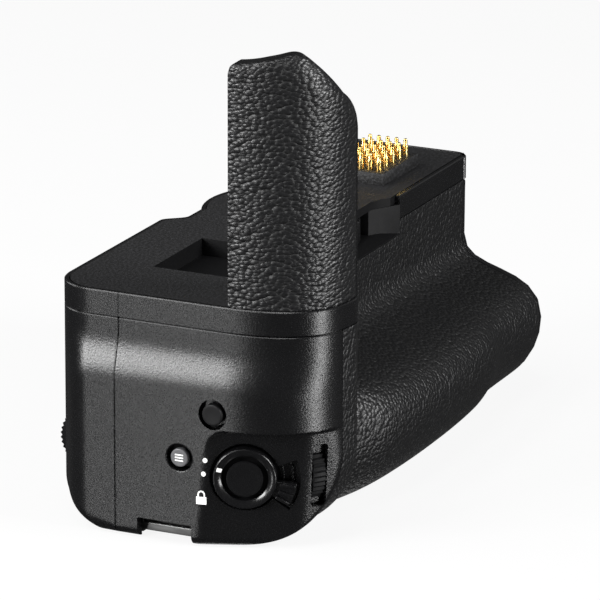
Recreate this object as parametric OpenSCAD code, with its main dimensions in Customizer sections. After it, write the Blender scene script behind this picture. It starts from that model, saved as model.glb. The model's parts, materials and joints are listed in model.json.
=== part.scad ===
// Vertical battery grip for a camera. Millimetres.
// +X points to the control end, +Y to the front of the camera, +Z up.
// The origin is on the axis of the camera screw, in the face that the camera sits on.

/* [Body] */
// Screw axis to the upper face of the control end
near_len = 83; // [81:0.5:90]
// Screw axis to the battery end
far_len = 67; // [66.5:0.5:75]
// Screw axis back to the rear face at the control end
near_back = 24; // [23:0.5:28]
// Screw axis back to the rear face of the rest of the body
far_back = 19; // [18.5:0.25:21]
// Screw axis forward to the front of the control end
near_front = 48.2; // [47:0.2:54]
// Screw axis forward to the front edge of the camera plate
plate_front = 21.4; // [20.5:0.1:24]
// Height of the rim band under the camera plate
band_h = 6.2; // [5:0.1:7]
// Thickness of the hard covers
wall = 2; // [1.6:0.1:2.2]
// Reach of the corner under the tower along the front
corner_front = 20; // [16:0.5:22]
// Reach of the corner under the tower along the end face
corner_turn = 26.2; // [25:0.2:28]
// Plan radius of the rear corner at the control end
corner_rear = 11; // [9:0.5:12]
// Plan radius of the plate corners at the battery end
corner_far = 4; // [2:0.5:6]
// Rounding where the end face turns under
end_round = 2.6; // [2.5:0.1:4]
// Reach of the rounding under the rear face
rear_round = 12; // [9:0.5:13]
// Height of the rounding under the rear face
rear_rise = 13; // [10:0.5:15]
// Rounding under the front of the control end
front_round = 23.5; // [20:0.5:25]
// How far the lower end face stands proud of the upper one
shelf_out = 2.4; // [0:0.1:4]
// Place of the parting line on the end face
seam_y = -5.2; // [-7:0.2:-3]
// Gap at every parting line
seam_gap = 0.1; // [0.05:0.01:0.2]

/* [Hand grip] */
// Thickness of the rubber
rubber_t = 1.2; // [0.8:0.1:1.6]
// Forward reach of the hump in the middle of the grip
hump_front = 47.5; // [44:0.5:52]
// Forward reach of the grip at the battery end
bulge_front = 43.6; // [40:0.5:48]
// Depth below the plate of the widest line of the grip
bulge_depth = 41; // [38:0.5:44]
// Depth below the plate where the neck starts to flare
neck_depth = 20; // [16:0.5:22]
// Front edge of the flat underside
under_front = 30.5; // [29:0.5:33]

/* [Tower] */
// Height of the tower at its peak
tower_peak = 64.5; // [50:0.5:80]
// Height of the tower at its rear edge
tower_rear_h = 60.5; // [45:0.5:75]
// Height of the tower at its front edge
tower_front_h = 49.5; // [35:0.5:65]
// Thickness of the tower wall
tower_t = 4.2; // [3:0.1:6]
// Thickness of the leatherette
skin_t = 1.2; // [0.8:0.1:1.6]
// Thickness of the pad on the camera side of the tower
liner_t = 1; // [0.6:0.1:2]
// Tower set back from the rim
tower_setback = 0.7; // [0.4:0.1:2]
// Rear edge of the tower along the end face
tower_y = 23.8; // [22.2:0.2:27]
// Length of the tower along the front face
tower_w = 22.8; // [21:0.2:25]

/* [Camera interface] */
// Radius of the camera screw (quarter inch thread)
screw_r = 3.175; // [2.4:0.005:3.2]
// Length of the camera screw above the plate
screw_up = 4.6; // [3.5:0.1:6]
// Radius of the thumbwheel
wheel_r = 18.8; // [18.2:0.1:19.4]
// Thickness of the thumbwheel
wheel_t = 5.6; // [4:0.1:6]
// Free space around the thumbwheel
wheel_gap = 0.5; // [0.4:0.05:0.8]
// Half width of the finger scoop in front of the thumbwheel
scoop_w = 22.5; // [20:0.5:25]
// Depth of the finger scoop below the plate
scoop_h = 10.3; // [9.8:0.1:12]
// Height of the contact block
block_h = 3.2; // [2:0.1:5]
// Length of the contact block along the body
block_l = 22; // [18:0.5:24]
// Width of the contact block
block_w = 15; // [12:0.5:18]
// Radius of a contact barrel
pin_r = 0.75; // [0.5:0.05:0.9]
// Height of a contact above its block
pin_up = 4.4; // [3:0.1:6]
// Depth of the storage well in the plate
well_depth = 4.4; // [3:0.1:5]

/* [Controls] */
// Turn of the control facet from the end face towards the front
facet_turn = 22; // [16:1:26]
// Downward tilt of the control facet
facet_tilt = 2; // [0:0.5:4]
// Radius of the shutter button
shutter_r = 4.5; // [4:0.1:5]
// Travel of the shutter button
shutter_travel = 1.2; // [0.6:0.1:1.4]
// Inner radius of the lock ring
ring_in = 5.6; // [5.3:0.1:6]
// Outer radius of the lock ring
ring_out = 7.7; // [7:0.1:8.5]
// Reach of the lock lever's tab from the axis
tab_reach = 12.2; // [11:0.1:13]
// Turn of the lock lever
lock_turn = 24; // [15:1:30]
// Radius of the function button
function_r = 2.7; // [2.2:0.1:3]
// Radius of the menu button
menu_r = 2.3; // [2:0.1:2.8]
// Radius of the focus button on the rear face
focus_r = 3.2; // [2.6:0.1:3.4]
// Gap between a button and its hole
button_gap = 0.8; // [0.3:0.1:1]
// Travel of the small buttons
button_travel = 0.6; // [0.3:0.1:0.8]
// Radius of the front dial
front_dial_r = 8.5; // [8:0.1:9]
// Thickness of the front dial
front_dial_t = 3.2; // [2:0.1:4]
// Radius of the rear dial
rear_dial_r = 7.8; // [7:0.1:8.5]
// Thickness of the rear dial
rear_dial_t = 5; // [3:0.1:6]
// Radius of the dial axles
axle_r = 1.2; // [0.8:0.05:1.6]
// Running gap between a shaft and its hole
run_gap = 0.05; // [0.02:0.01:0.1]

/* [Power] */
// Length of a battery pack
pack_l = 50; // [44:0.5:51]
// Width of a battery pack
pack_w = 37; // [33:0.5:42]
// Thickness of a battery pack
pack_t = 22.4; // [18:0.2:22.8]
// Wall of the battery tray
tray_wall = 1.4; // [1:0.1:1.6]
// Free space around each pack and around the tray
pack_gap = 0.3; // [0.2:0.05:0.4]
// Wall of the battery chamber
chamber_wall = 1.4; // [1:0.1:1.5]
// Radius of the turning latch key
key_r = 7; // [5:0.5:9]

/* [Mounts] */
// Radius of the tripod socket's thread
socket_r = 3.175; // [2.4:0.005:3.2]
// Outer radius of the tripod socket
socket_out = 5; // [4.5:0.1:5.4]
// Depth of the tripod socket
socket_h = 7; // [5:0.1:8]
// Thickness of the strap bar
strap_bar = 2; // [1.5:0.1:2.6]
// Length of the strap opening
strap_w = 14.5; // [12:0.5:14.5]

/* [Hidden] */
$fn = 48;
eps = 0.01;
plastic = "#1c1c1d";
satin = "#2a2a2b";
rubber = "#161617";
steel = "#9a9a98";
gold = "#c9a04a";

// The packs, their tray and chamber and the wheel above them set the height of the body
tray_h = pack_w + 2 * tray_wall + 2 * pack_gap;
chamber_h = tray_h + 2 * pack_gap + 2 * chamber_wall;
under_t = 2.2;
bay_rise = 1.3;
bay_clear = 2.9;
body_h = scoop_h + bay_clear + chamber_h + bay_rise + under_t;
under_gap = 0.4;
z_bot = -body_h;
z_seam = -band_h - seam_gap;
far_x = -far_len;
cap_t = 4.5;
shell_x = far_x + cap_t;
far_round = 4;

// Where the control end hands over to the rubber, on the front corner
hand_over = 77.5;
corner_cx = near_len - corner_front;
corner_cy = near_front - corner_turn;
// The corner starts to turn early and closes tightly at the front; a runs from 0 to 90
corner_power = 2.38;
function corner_at(a) = [corner_cx + corner_front * pow(cos(a), 2 / corner_power),
    corner_cy + corner_turn * pow(sin(a), 2 / corner_power)];
function corner_out(a) =
    let (k = 2 - 2 / corner_power,
        v = [pow(cos(a), k) / corner_front, pow(sin(a), k) / corner_turn]) v / norm(v);
// The place on the corner whose outward direction is turned by the angle
function corner_angle(turn) =
    atan(pow(tan(turn) * corner_turn / corner_front, 1 / (2 - 2 / corner_power)));
cover_x = corner_at(hand_over)[0];
cover_y = corner_at(hand_over)[1];

// Small curve tools
function clamp01(t) = max(0, min(1, t));
function ease(t) = let (c = clamp01(t)) c * c * (3 - 2 * c);
function mix(a, b, t) = a + (b - a) * t;
function unit(v) = v / norm(v);
function slope(p, i) =
    let (a = p[max(i - 1, 0)], b = p[min(i + 1, len(p) - 1)]) (b[1] - a[1]) / (b[0] - a[0]);
function span_of(p, x, i = 0) = i >= len(p) - 2 || x >= p[i + 1][0] ? i : span_of(p, x, i + 1);
// Height at x of a smooth curve through points that run towards -X
function curve(p, x) =
    let (
        i = span_of(p, x),
        w = p[i + 1][0] - p[i][0],
        t = (x - p[i][0]) / w,
        m0 = slope(p, i) * w,
        m1 = slope(p, i + 1) * w
    )
    (2 * t * t * t - 3 * t * t + 1) * p[i][1] + (t * t * t - 2 * t * t + t) * m0
    + (3 * t * t - 2 * t * t * t) * p[i + 1][1] + (t * t * t - t * t) * m1;

// The grip in plan: top of the neck, widest line and edge of the underside
finger_x = corner_cx - 4;
neck_line = [[cover_x, cover_y], [corner_cx + 3, near_front - 0.15], [corner_cx - 1.5, near_front],
    [finger_x, near_front - 2], [finger_x - 2.5, near_front - 9], [finger_x - 8, near_front - 18.5],
    [finger_x - 17, plate_front + 3], [finger_x - 30, plate_front + 0.4], [10, plate_front],
    [far_x, plate_front - 0.3]];
bulge_line = [[cover_x, cover_y], [corner_cx + 3, near_front - 0.15], [corner_cx - 1.5, near_front],
    [finger_x, near_front - 2.2], [finger_x - 3, near_front - 6.5], [finger_x - 7, near_front - 8.5],
    [finger_x - 14, near_front - 5.5], [finger_x - 22, hump_front - 1.6], [25, hump_front - 0.2],
    [0, hump_front], [-25, hump_front - 1.2], [-38, bulge_front + 0.4], [far_x + 5, bulge_front - 0.4],
    [far_x, bulge_front - 1]];
under_y = near_front - front_round;
under_line = [[cover_x, under_y], [corner_cx, under_y], [finger_x, under_y + 0.3],
    [finger_x - 7, under_front - 3.5], [finger_x - 14, under_front - 2.5],
    [25, under_front - 0.3], [0, under_front], [-25, under_front - 2], [-38, under_front - 5.5],
    [far_x, under_front - 6.5]];
flare_line = [[cover_x, band_h + 4], [finger_x, band_h + 5], [finger_x - 14, neck_depth - 4],
    [0, neck_depth - 1], [far_x, neck_depth + 1]];
wide_line = [[cover_x, body_h - front_round], [corner_cx - 2, body_h - front_round],
    [finger_x - 8, bulge_depth - 0.5], [finger_x - 20, bulge_depth], [0, bulge_depth],
    [far_x, bulge_depth]];

// Depth of the rubber's upper edge, lowered in the finger scoop
function rubber_top(x) = abs(x) < scoop_w ? scoop_h : band_h + seam_gap;
// One point of the grip: v runs from 0 at the upper edge through 1 at the widest line to 2 underneath
neck_share = 0.15;
function grip_point(x, v) =
    let (
        yn = curve(neck_line, x), yb = curve(bulge_line, x), yu = curve(under_line, x),
        zt = -rubber_top(x), zn = -curve(flare_line, x), zb = -curve(wide_line, x),
        t = clamp01((v - neck_share) / (1 - neck_share)), s = 1 - t,
        hn = (zn - zb) * 0.56, hb = (zn - zb) * 0.71, a = 90 * (v - 1)
    )
    v <= neck_share ? [x, yn, mix(zt, zn, v / neck_share)]
    : v <= 1 ? [x, yn * (s * s * s + 3 * s * s * t) + yb * (3 * s * t * t + t * t * t),
        zn * s * s * s + (zn - hn) * 3 * s * s * t + (zb + hb) * 3 * s * t * t + zb * t * t * t]
    : [x, yb + (yu - yb) * (1 - cos(a)), zb + (z_bot - zb) * sin(a)];
grip_rows = concat([0, neck_share / 2], [for (i = [0:8]) mix(neck_share, 1, i / 8)],
    [for (i = [1:7]) 1 + i / 7]);
grip_near = cover_x - seam_gap;
near_steps = 16;
near_end = finger_x - 12;
grip_stations = concat(
    [for (i = [0:near_steps]) mix(grip_near, near_end, i / near_steps)],
    [for (i = [1:4]) mix(near_end, scoop_w + 0.01, i / 4)],
    [for (i = [0:8]) mix(scoop_w - 0.01, -scoop_w + 0.01, i / 8)],
    [for (i = [0:8]) mix(-scoop_w - 0.01, shell_x + seam_gap, i / 8)]);
grip_grid = [for (x = grip_stations) [for (v = grip_rows) grip_point(x, v)]];

// The control facet meets the end face in a leaning crease and ends upwards in a ceiling
facet_crease_y = 18.4;
crease_z = -45;
crease_lean = tan(facet_tilt) / sin(facet_turn);
ceiling = 30.2;
ceiling_step = 0.6;
crease_t = (facet_crease_y - seam_y) / (corner_cy - seam_y);

front_soft = 1;
rear_soft = 1.2;
// The hard covers in plan: each step is [place, outward, edge of the underside, height of the
// rounding, share of the shelf, softness of the rounding]
function end_step(t) = // t from 0 at the parting line, 1 where the corner starts, to 2 at the hand-over
    t <= 1 ? [[near_len, mix(seam_y, corner_cy, t)], [1, 0],
        [near_len + shelf_out - end_round, mix(seam_y, corner_cy, t)], end_round, 1, front_soft]
    : let (k = t - 1, a = hand_over * k)
        [corner_at(a), k < 1 ? corner_out(a) : [0, 1],
        [mix(near_len + shelf_out - end_round, cover_x, k), mix(corner_cy, under_y, k)],
        mix(end_round, front_round, k * k), 1 - ease(k), front_soft];
step_x = 20;
step_half = 3;
function near_share(x) = ease((x - step_x + step_half) / (2 * step_half));
function back_y(x) = -mix(far_back, near_back, near_share(x));
far_shrink = 0.7;
function back_round(x) = mix(far_shrink, 1, near_share(x));
rear_cx = near_len - corner_rear;
rear_cy = corner_rear - near_back;
rear_lead = 5;
function rear_corner(t) =
    let (c = [cos(90 * t), -sin(90 * t)])
    [[rear_cx, rear_cy] + corner_rear * c, c,
    [mix(near_len + shelf_out - end_round, rear_cx, t),
        mix(rear_cy + rear_lead, rear_round - near_back, t)],
    mix(rear_lead, rear_rise, t), 1 - ease(1.8 * t), mix(front_soft, rear_soft, t)];
end_steps = concat([for (i = [0:5]) end_step(mix(seam_gap / (corner_cy - seam_y), crease_t, i / 5))],
    [for (i = [1:3]) end_step(mix(crease_t, 1, i / 3))], [for (i = [1:14]) end_step(1 + i / 14)]);
housing_r = wheel_r + wheel_gap + wall;
housing_half = sqrt(housing_r * housing_r - far_back * far_back);
rear_xs = concat([for (i = [1:4]) mix(rear_cx, step_x + step_half, i / 4)],
    [for (i = [1:6]) mix(step_x + step_half, step_x - step_half, i / 6)],
    [for (i = [0:8]) mix(housing_half, -housing_half, i / 8)],
    [for (i = [1:4]) mix(-housing_half, shell_x + seam_gap, i / 4)]);
rear_steps = concat([for (i = [0:2]) let (y = mix(seam_y - seam_gap, rear_cy, i / 3))
        [[near_len, y], [1, 0], [near_len + shelf_out - end_round, y + rear_lead * i / 3],
        mix(end_round, rear_lead, i / 3), 1, front_soft]],
    [for (i = [0:10]) rear_corner(i / 10)],
    [for (x = rear_xs) [[x, back_y(x)], [0, -1], [x, back_y(x) + rear_round * back_round(x)],
        rear_rise * back_round(x), 0, rear_soft]]);

// The crease leans, so the columns of the end cover lean with it
function crease_shift(y, depth) =
    let (t = (y - seam_y) / (corner_cy - seam_y),
        w = t < crease_t ? t / crease_t : (1 - t) / (1 - crease_t))
    clamp01(w) * crease_lean * (-max(depth, ceiling) - crease_z);

// Rows of a hard cover: depths of the upright wall, then the turn underneath in degrees
shelf_top = 10;
shelf_bottom = 22;
upper_rows = [-z_seam, 9, 11, 13, 15, 17, 19, 21, 23, 26, ceiling, ceiling + ceiling_step];
lower_rows = 5;
turn_rows = [0, 15, 30, 45, 60, 75, 90];
function shelf(depth) = shelf_out * ease((depth - shelf_top) / (shelf_bottom - shelf_top));
function cover_point(s, depth, turn, lean) =
    let (w = s[0] + s[1] * s[4] * shelf(depth), p = w + (s[2] - w) * (1 - pow(cos(turn), s[5])))
    [p[0], p[1] + lean * crease_shift(s[0][1], depth) * cos(turn), -depth];
function cover_column(s, lean) = concat(
    [for (d = upper_rows) cover_point(s, d, 0, lean)],
    [for (i = [1:lower_rows])
        cover_point(s, mix(ceiling + ceiling_step, body_h - s[3], i / (lower_rows + 1)), 0, lean)],
    [for (a = turn_rows) cover_point(s, body_h - s[3] * (1 - pow(sin(a), s[5])), a, lean)]);

facet_n = [cos(facet_turn) * cos(facet_tilt), sin(facet_turn) * cos(facet_tilt), -sin(facet_tilt)];
facet_p = [near_len + shelf_out, facet_crease_y, crease_z];
function facet_share(p) = clamp01((-p[2] - ceiling) / ceiling_step);
facet_level = [facet_n[0], facet_n[1], 0];
function edge_turn(depth) =
    let (d = max(0, depth - body_h + end_round)) end_round - sqrt(max(0, end_round * end_round - d * d));
function on_facet(p) =
    let (h = max(0, (p - facet_p) * facet_n + edge_turn(-p[2])))
    p - facet_level * facet_share(p) * h / (facet_level * facet_n);
// A second facet beside it carries the front dial
front_dial_z = -42;
dial_facet_turn = 50;
dial_facet_tilt = 4;
dial_facet_in = 1.8;
dial_facet_level = [cos(dial_facet_turn), sin(dial_facet_turn), 0];
dial_facet_n = cos(dial_facet_tilt) * dial_facet_level - [0, 0, sin(dial_facet_tilt)];
dial_facet_at = corner_at(corner_angle(dial_facet_turn));
dial_facet_p = [dial_facet_at[0], dial_facet_at[1], front_dial_z] - dial_facet_in * dial_facet_level;
function on_dial_facet(p) =
    let (h = max(0, (p - dial_facet_p) * dial_facet_n))
    p - dial_facet_level * facet_share(p) * h / cos(dial_facet_tilt);
end_grid = [for (s = end_steps) [for (p = cover_column(s, 1)) on_dial_facet(on_facet(p))]];

// The wheel housing swells the upper part of the rear wall
housing_low = wheel_t + 5;
function housing_swell(p) =
    let (r = abs(p[0]) < housing_half ? sqrt(housing_r * housing_r - p[0] * p[0]) - far_back : 0)
    [p[0], p[1] - r * (1 - ease((-p[2] - housing_low) / 8)), p[2]];
rear_grid = [for (s = rear_steps) [for (p = cover_column(s, 0)) housing_swell(p)]];

// A shell between two offsets of a grid of points; the locks keep each border in its own plane
function grid_normal(g, i, j) =
    let (n = len(g) - 1, m = len(g[0]) - 1)
    unit(cross(g[min(i + 1, n)][j] - g[max(i - 1, 0)][j], g[i][min(j + 1, m)] - g[i][max(j - 1, 0)]));
function times(a, b) = [a[0] * b[0], a[1] * b[1], a[2] * b[2]];
function locked(v, i, j, n, m, side, locks) = j == m ? [0, 0, side]
    : unit(times(times(v, i == 0 ? locks[0] : i == n ? locks[1] : [1, 1, 1]),
        j == 0 ? [1, 1, 0] : [1, 1, 1]));
function sunk(g, depth, side, locks) =
    let (n = len(g) - 1, m = len(g[0]) - 1)
    [for (i = [0:n]) [for (j = [0:m])
        g[i][j] + side * depth * locked(grid_normal(g, i, j), i, j, n, m, side, locks)]];
function flat(g) = [for (r = g) for (p = r) p];
function quad(a, b, c, d) = [[a, b, c], [a, c, d]];
module grid_shell(g, d0, d1, side, locks) {
    n = len(g);
    m = len(g[0]);
    outer = flat(d0 > 0 ? sunk(g, d0, side, locks) : g);
    inner = flat(sunk(g, d1, side, locks));
    k = n * m;
    skin = [for (i = [0:n - 2]) for (j = [0:m - 2])
        for (f = quad(i * m + j, i * m + j + 1, (i + 1) * m + j + 1, (i + 1) * m + j)) f];
    back = [for (f = skin) [f[0] + k, f[2] + k, f[1] + k]];
    ends = [for (i = [0, n - 1]) for (j = [0:m - 2])
        for (f = quad(i * m + j, i * m + j + k, i * m + j + 1 + k, i * m + j + 1))
            i == 0 ? f : [f[0], f[2], f[1]]];
    sides = [for (j = [0, m - 1]) for (i = [0:n - 2])
        for (f = quad(i * m + j, (i + 1) * m + j, (i + 1) * m + j + k, i * m + j + k))
            j == 0 ? f : [f[0], f[2], f[1]]];
    all_faces = concat(skin, back, ends, sides);
    polyhedron(concat(outer, inner), side < 0 ? all_faces : [for (f = all_faces) [f[0], f[2], f[1]]]);
}

// The outline of the covers in plan at the plate, and underneath drawn in by the gap
function plan_edge(steps) = [for (s = steps) s[0]];
function under_edge(steps, g) = [for (i = [0:len(g) - 1])
    let (p = g[i][len(g[i]) - 1]) [p[0], p[1]] - steps[i][1] * under_gap];
function reversed(p) = [for (i = [len(p) - 1:-1:0]) p[i]];
function arc(c, r, a0, a1, n = 6) =
    [for (i = [0:n]) let (a = mix(a0, a1, i / n)) c + r * [cos(a), sin(a)]];
plate_stations = [for (x = grip_stations) if (x > far_x + corner_far) x];
plate_outline = concat(plan_edge(end_steps),
    [for (x = plate_stations) [x, curve(neck_line, x)]],
    arc([far_x + corner_far, plate_front - corner_far], corner_far, 90, 180),
    arc([far_x + corner_far, corner_far - far_back], corner_far, 180, 270),
    [for (p = reversed(plan_edge(rear_steps))) if (p[0] > far_x + corner_far) p]);
under_outline = concat(under_edge(end_steps, end_grid),
    [for (x = grip_stations) [x, curve(under_line, x) - under_gap]],
    reversed(under_edge(rear_steps, rear_grid)));

// The wheel scoop in plan
scoop_in = 17;
scoop_outline = [[-scoop_w, plate_front + 0.2], [3.3 - scoop_w + 2, scoop_in + 1.1],
    [8 - scoop_w, scoop_in],
    [scoop_w - 8, scoop_in], [scoop_w - 5.3, scoop_in + 1.1], [scoop_w, plate_front + 0.2]];
cheek_in = 12.5;

// The storage well in the plate
well_x0 = 33;
well_x1 = 60;
well_y0 = -7.3;
well_y1 = 17;
well_ramp = 8;
plate_t = 2.2;

// The controls: an axis on the facet and axes square to the end face
shutter_along = 10.3;
shutter_up = 2.7;
shutter_at = facet_p + shutter_along * [-sin(facet_turn), cos(facet_turn), 0]
    + shutter_up * [cos(facet_turn) * sin(facet_tilt), sin(facet_turn) * sin(facet_tilt), cos(facet_tilt)];
function_at = [near_len + shelf_out, 21.2, -26.4];
menu_at = [near_len + shelf_out, 12.2, -38.5];
focus_at = [56, -near_back, -24];
switch_t = 2;
flange_t = 2;
// Turns a shape that points along +Z so that it points out of the facet at the shutter
module on_shutter() {
    translate(shutter_at) rotate([0, 90 + facet_tilt, facet_turn]) rotate([0, 0, 90]) children();
}
module on_end(at) {
    translate(at) rotate([0, 90, 0]) children();
}
module on_rear(at) {
    translate(at) rotate([90, 0, 0]) children();
}
// A dial with straight knurling, centred on its axis along Z
module knurled(r, t, teeth, depth, bore) {
    difference() {
        translate([0, 0, -t / 2]) linear_extrude(t)
            polygon([for (i = [0:2 * teeth - 1]) let (a = 180 * i / teeth)
                (i % 2 == 0 ? r : r - depth) * [cos(a), sin(a)]]);
        translate([0, 0, -t]) cylinder(r = bore, h = 2 * t);
    }
}

// Front dial: in the corner, its axis level and along the face
front_dial_turn = 55;
front_dial_out = -1;
front_dial_p = corner_at(corner_angle(front_dial_turn))
    + (front_dial_out - front_dial_r) * [cos(front_dial_turn), sin(front_dial_turn)];
front_dial_at = [front_dial_p[0], front_dial_p[1], front_dial_z];
module on_front_dial() {
    translate(front_dial_at) rotate([0, 0, front_dial_turn]) rotate([90, 0, 0]) children();
}
// Rear dial: behind the rear face, its axis along X
rear_dial_out = 1.9;
rear_dial_x = rear_cx - 0.5;
rear_dial_at = [rear_dial_x, rear_dial_r - rear_dial_out - near_back, -41.5];
dial_gap = 0.4;
// Half height of the slot that a dial of radius r needs when it stands out of the wall by out
front_slot = front_dial_r - 0.5;
function slot_half(r, out) = sqrt(r * r - (r - out - wall) * (r - out - wall)) + dial_gap;
bracket_t = 1.5;

// Battery bay
tray_d = pack_t + tray_wall + 2 * pack_gap;
tray_l = 2 * pack_l + 3 * tray_wall + 4 * pack_gap;
chamber_z0 = z_bot + under_t + bay_rise;
chamber_z1 = chamber_z0 + chamber_h;
chamber_y0 = -11.6;
chamber_y1 = chamber_y0 + tray_d + 2 * pack_gap + 2 * chamber_wall;
tray_x0 = far_x + cap_t;
tray_x1 = tray_x0 + tray_l;
tray_y0 = chamber_y0 + chamber_wall + pack_gap;
tray_z0 = chamber_z0 + chamber_wall + pack_gap;
chamber_x0 = shell_x + seam_gap;
contact_gap = 1.2;
chamber_x1 = tray_x1 + contact_gap + chamber_wall;
// Contact springs between the tray and the chamber
spring_t = 0.6;
contact_w = 2.4;
contact_h = 6;
contact_pitch = 5;
function contact_y(i) = tray_y0 + tray_d / 2 + i * contact_pitch - contact_w / 2;
contact_z = tray_z0 + (tray_h - contact_h) / 2;
board_t = 1.6;
board_off = 1.5;

// Wheel and screw
wheel_z1 = -plate_t - wheel_gap;
wheel_z0 = wheel_z1 - wheel_t;
stub_r = 3;
stub_gap = 0.2;
boss_r = 6;

// Connector
block_x1 = -28.6;
block_y1 = 13.8;
pin_cols = 5;
pin_rows = 5;
pin_pitch_x = 4.1;
pin_pitch_y = 2.5;
function pin_at(i, j) = [block_x1 - 2.6 - i * pin_pitch_x, block_y1 - 2.4 - j * pin_pitch_y];

// Strap opening at the lower edge of the end face
strap_y = seam_y + 6;
strap_deep = 10;
strap_tall = 5.2;

tripod_at = [0, under_front - 8];
bottom_screw_at = [[near_len - 14, 17], [near_len - 14, -2], [36, 22], [-36, 20]];
top_screw_at = [[60, 24], [27, 14], [-40, -14], [-58, -14], [-20, -12]];
locating_at = [[14, 8], [-57, -8.5]];
locating_r = 1.5;
locating_up = 3;

tower_x = near_len - tower_w;
tower_from = asin(pow(max(0, tower_y - corner_cy) / corner_turn, corner_power / 2));
function tower_line(inset) = concat([for (i = [0:16]) let (a = mix(tower_from, 90, i / 16))
    corner_at(a) - inset * corner_out(a)], [[tower_x, near_front - inset]]);
// A strip that follows the corner under the tower between two insets from the rim
module plan_band(in0, in1) {
    polygon(concat(tower_line(in0), reversed(tower_line(in1))));
}
tower_peak_turn = 45.4;
peak_x = corner_at(tower_peak_turn)[0];
peak_y = corner_at(tower_peak_turn)[1];
rise = (tower_peak - tower_rear_h) / (peak_y - tower_y);
fall = (tower_peak - tower_front_h) / (peak_x - tower_x);
tower_span = 3 * tower_w;
// The outer edge of the front slope is cut back by a plane that leans outwards, sunk by a depth
roll_turn = 65;
roll_h = 5;
module under_roll(depth) {
    n = unit([cos(roll_turn), sin(roll_turn), 0] + unit([-fall, 0, 1]));
    translate([peak_x, peak_y, tower_peak - roll_h]) rotate([0, acos(n[2]), atan2(n[1], n[0])])
        translate([-2 * tower_span, -2 * tower_span, -4 * tower_span - depth]) cube(4 * tower_span);
}
// The space under the tower's sloping top, lowered by drop
module under_peak(drop) {
    reach = 30;
    margin = 5;
    intersection() {
        translate([near_len + margin, 0, 0]) rotate([90, 0, -90]) linear_extrude(tower_span)
            polygon([[margin - tower_y, 0], [margin - tower_y, tower_rear_h - margin * rise - drop],
                [-(peak_y + reach), tower_peak + reach * rise - drop], [-(peak_y + reach), 0]]);
        translate([0, near_front + margin, 0]) rotate([90, 0, 0]) linear_extrude(tower_span)
            polygon([[tower_x - margin, 0], [tower_x - margin, tower_front_h - margin * fall - drop],
                [peak_x + reach, tower_peak + reach * fall - drop], [peak_x + reach, 0]]);
    }
}
// A small screw: its head, the sinking of the head and the holes around it
head_r = 2;
head_h = 1.2;
head_gap = 0.1;
head_seat = 1.4;
shank_l = 3.2;
module screw(r, l) {
    difference() {
        union() {
            cylinder(r = r, h = head_h);
            translate([0, 0, -l]) cylinder(r = r / 2, h = l + eps);
        }
        translate([0, 0, 0.5]) linear_extrude(1)
            union() {
                square([r * 1.3, r * 0.3], center = true);
                square([r * 0.3, r * 1.3], center = true);
            }
    }
}

module top_cover() color(plastic) difference() {
    union() {
        translate([0, 0, -plate_t]) linear_extrude(plate_t) union() {
            polygon(plate_outline);
            circle(r = housing_r, $fn = 96);
        }
        translate([0, 0, -band_h]) linear_extrude(band_h - plate_t + eps) difference() {
            union() {
                polygon(plate_outline);
                circle(r = housing_r, $fn = 96);
            }
            offset(delta = -wall) polygon(plate_outline);
            circle(r = wheel_r + wheel_gap, $fn = 96);
            translate([-scoop_w, cheek_in]) square([2 * scoop_w, 40]);
        }
        translate([well_x0 - 1.5, well_y0 - 1.5, -well_depth - 1.4])
            cube([well_x1 - well_x0 + 3, well_y1 - well_y0 + 3, well_depth + 1.4 - plate_t / 2]);
    }
    translate([0, 0, -plate_t - 1]) linear_extrude(plate_t + 2)
        polygon(concat(scoop_outline, [[scoop_w, 60], [-scoop_w, 60]]));
    translate([0, well_y1, 0]) rotate([90, 0, 0]) linear_extrude(well_y1 - well_y0)
        polygon([[well_x0, 1], [well_x0, -well_depth], [well_x1 - well_ramp, -well_depth], [well_x1, 0],
            [well_x1, 1]]);
    translate([0, 0, -plate_t - 1]) cylinder(r = screw_r + 0.4, h = plate_t + 2);
    for (p = top_screw_at) translate([p[0], p[1], -head_h]) cylinder(r = head_r + head_gap, h = 2);
    for (p = top_screw_at) translate([p[0], p[1], -plate_t - 1])
        cylinder(r = head_r / 2 + head_gap, h = plate_t + 2);
    for (p = locating_at) translate([p[0], p[1], -plate_t - 1]) cylinder(r = locating_r, h = plate_t + 2);
}

ring_gap = 0.3;
drill = 20;
module end_cover() color(satin) difference() {
    grid_shell(end_grid, 0, wall, 1, [[1, 0, 1], [0, 1, 1]]);
    on_shutter() translate([0, 0, -drill]) cylinder(r = ring_out + ring_gap, h = 2 * drill);
    on_shutter() translate([0, 0, -pocket_deep]) linear_extrude(drill) lever_pocket();
    on_end(function_at) translate([0, 0, -8]) cylinder(r = function_r + button_gap, h = 12);
    on_end(menu_at) translate([0, 0, -8]) cylinder(r = menu_r + button_gap + 0.3, h = 12);
    on_front_dial() translate([2, -front_slot, -front_dial_t / 2 - dial_gap])
        cube([20, 2 * front_slot, front_dial_t + 2 * dial_gap]);
    translate([near_len + shelf_out - strap_deep, strap_y, z_bot - 1])
        cube([strap_deep + 2, strap_w, strap_tall + 1]);
}
tab_angle = -20;
tab_low = -1.2;
tab_t = 2.5;
pocket_deep = 1.5;
tab_half = 14;
// The sunk sector that the lever's tab swings in
module lever_pocket() {
    r = tab_reach + 0.5;
    pocket_from = tab_angle - tab_half - 4;
    pocket_to = tab_angle + tab_half + lock_turn + 4;
    intersection() {
        circle(r = r);
        polygon(concat([[0, 0]],
            [for (i = [0:6]) let (a = mix(pocket_from, pocket_to, i / 6)) 2 * r * [cos(a), sin(a)]]));
    }
}

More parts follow.
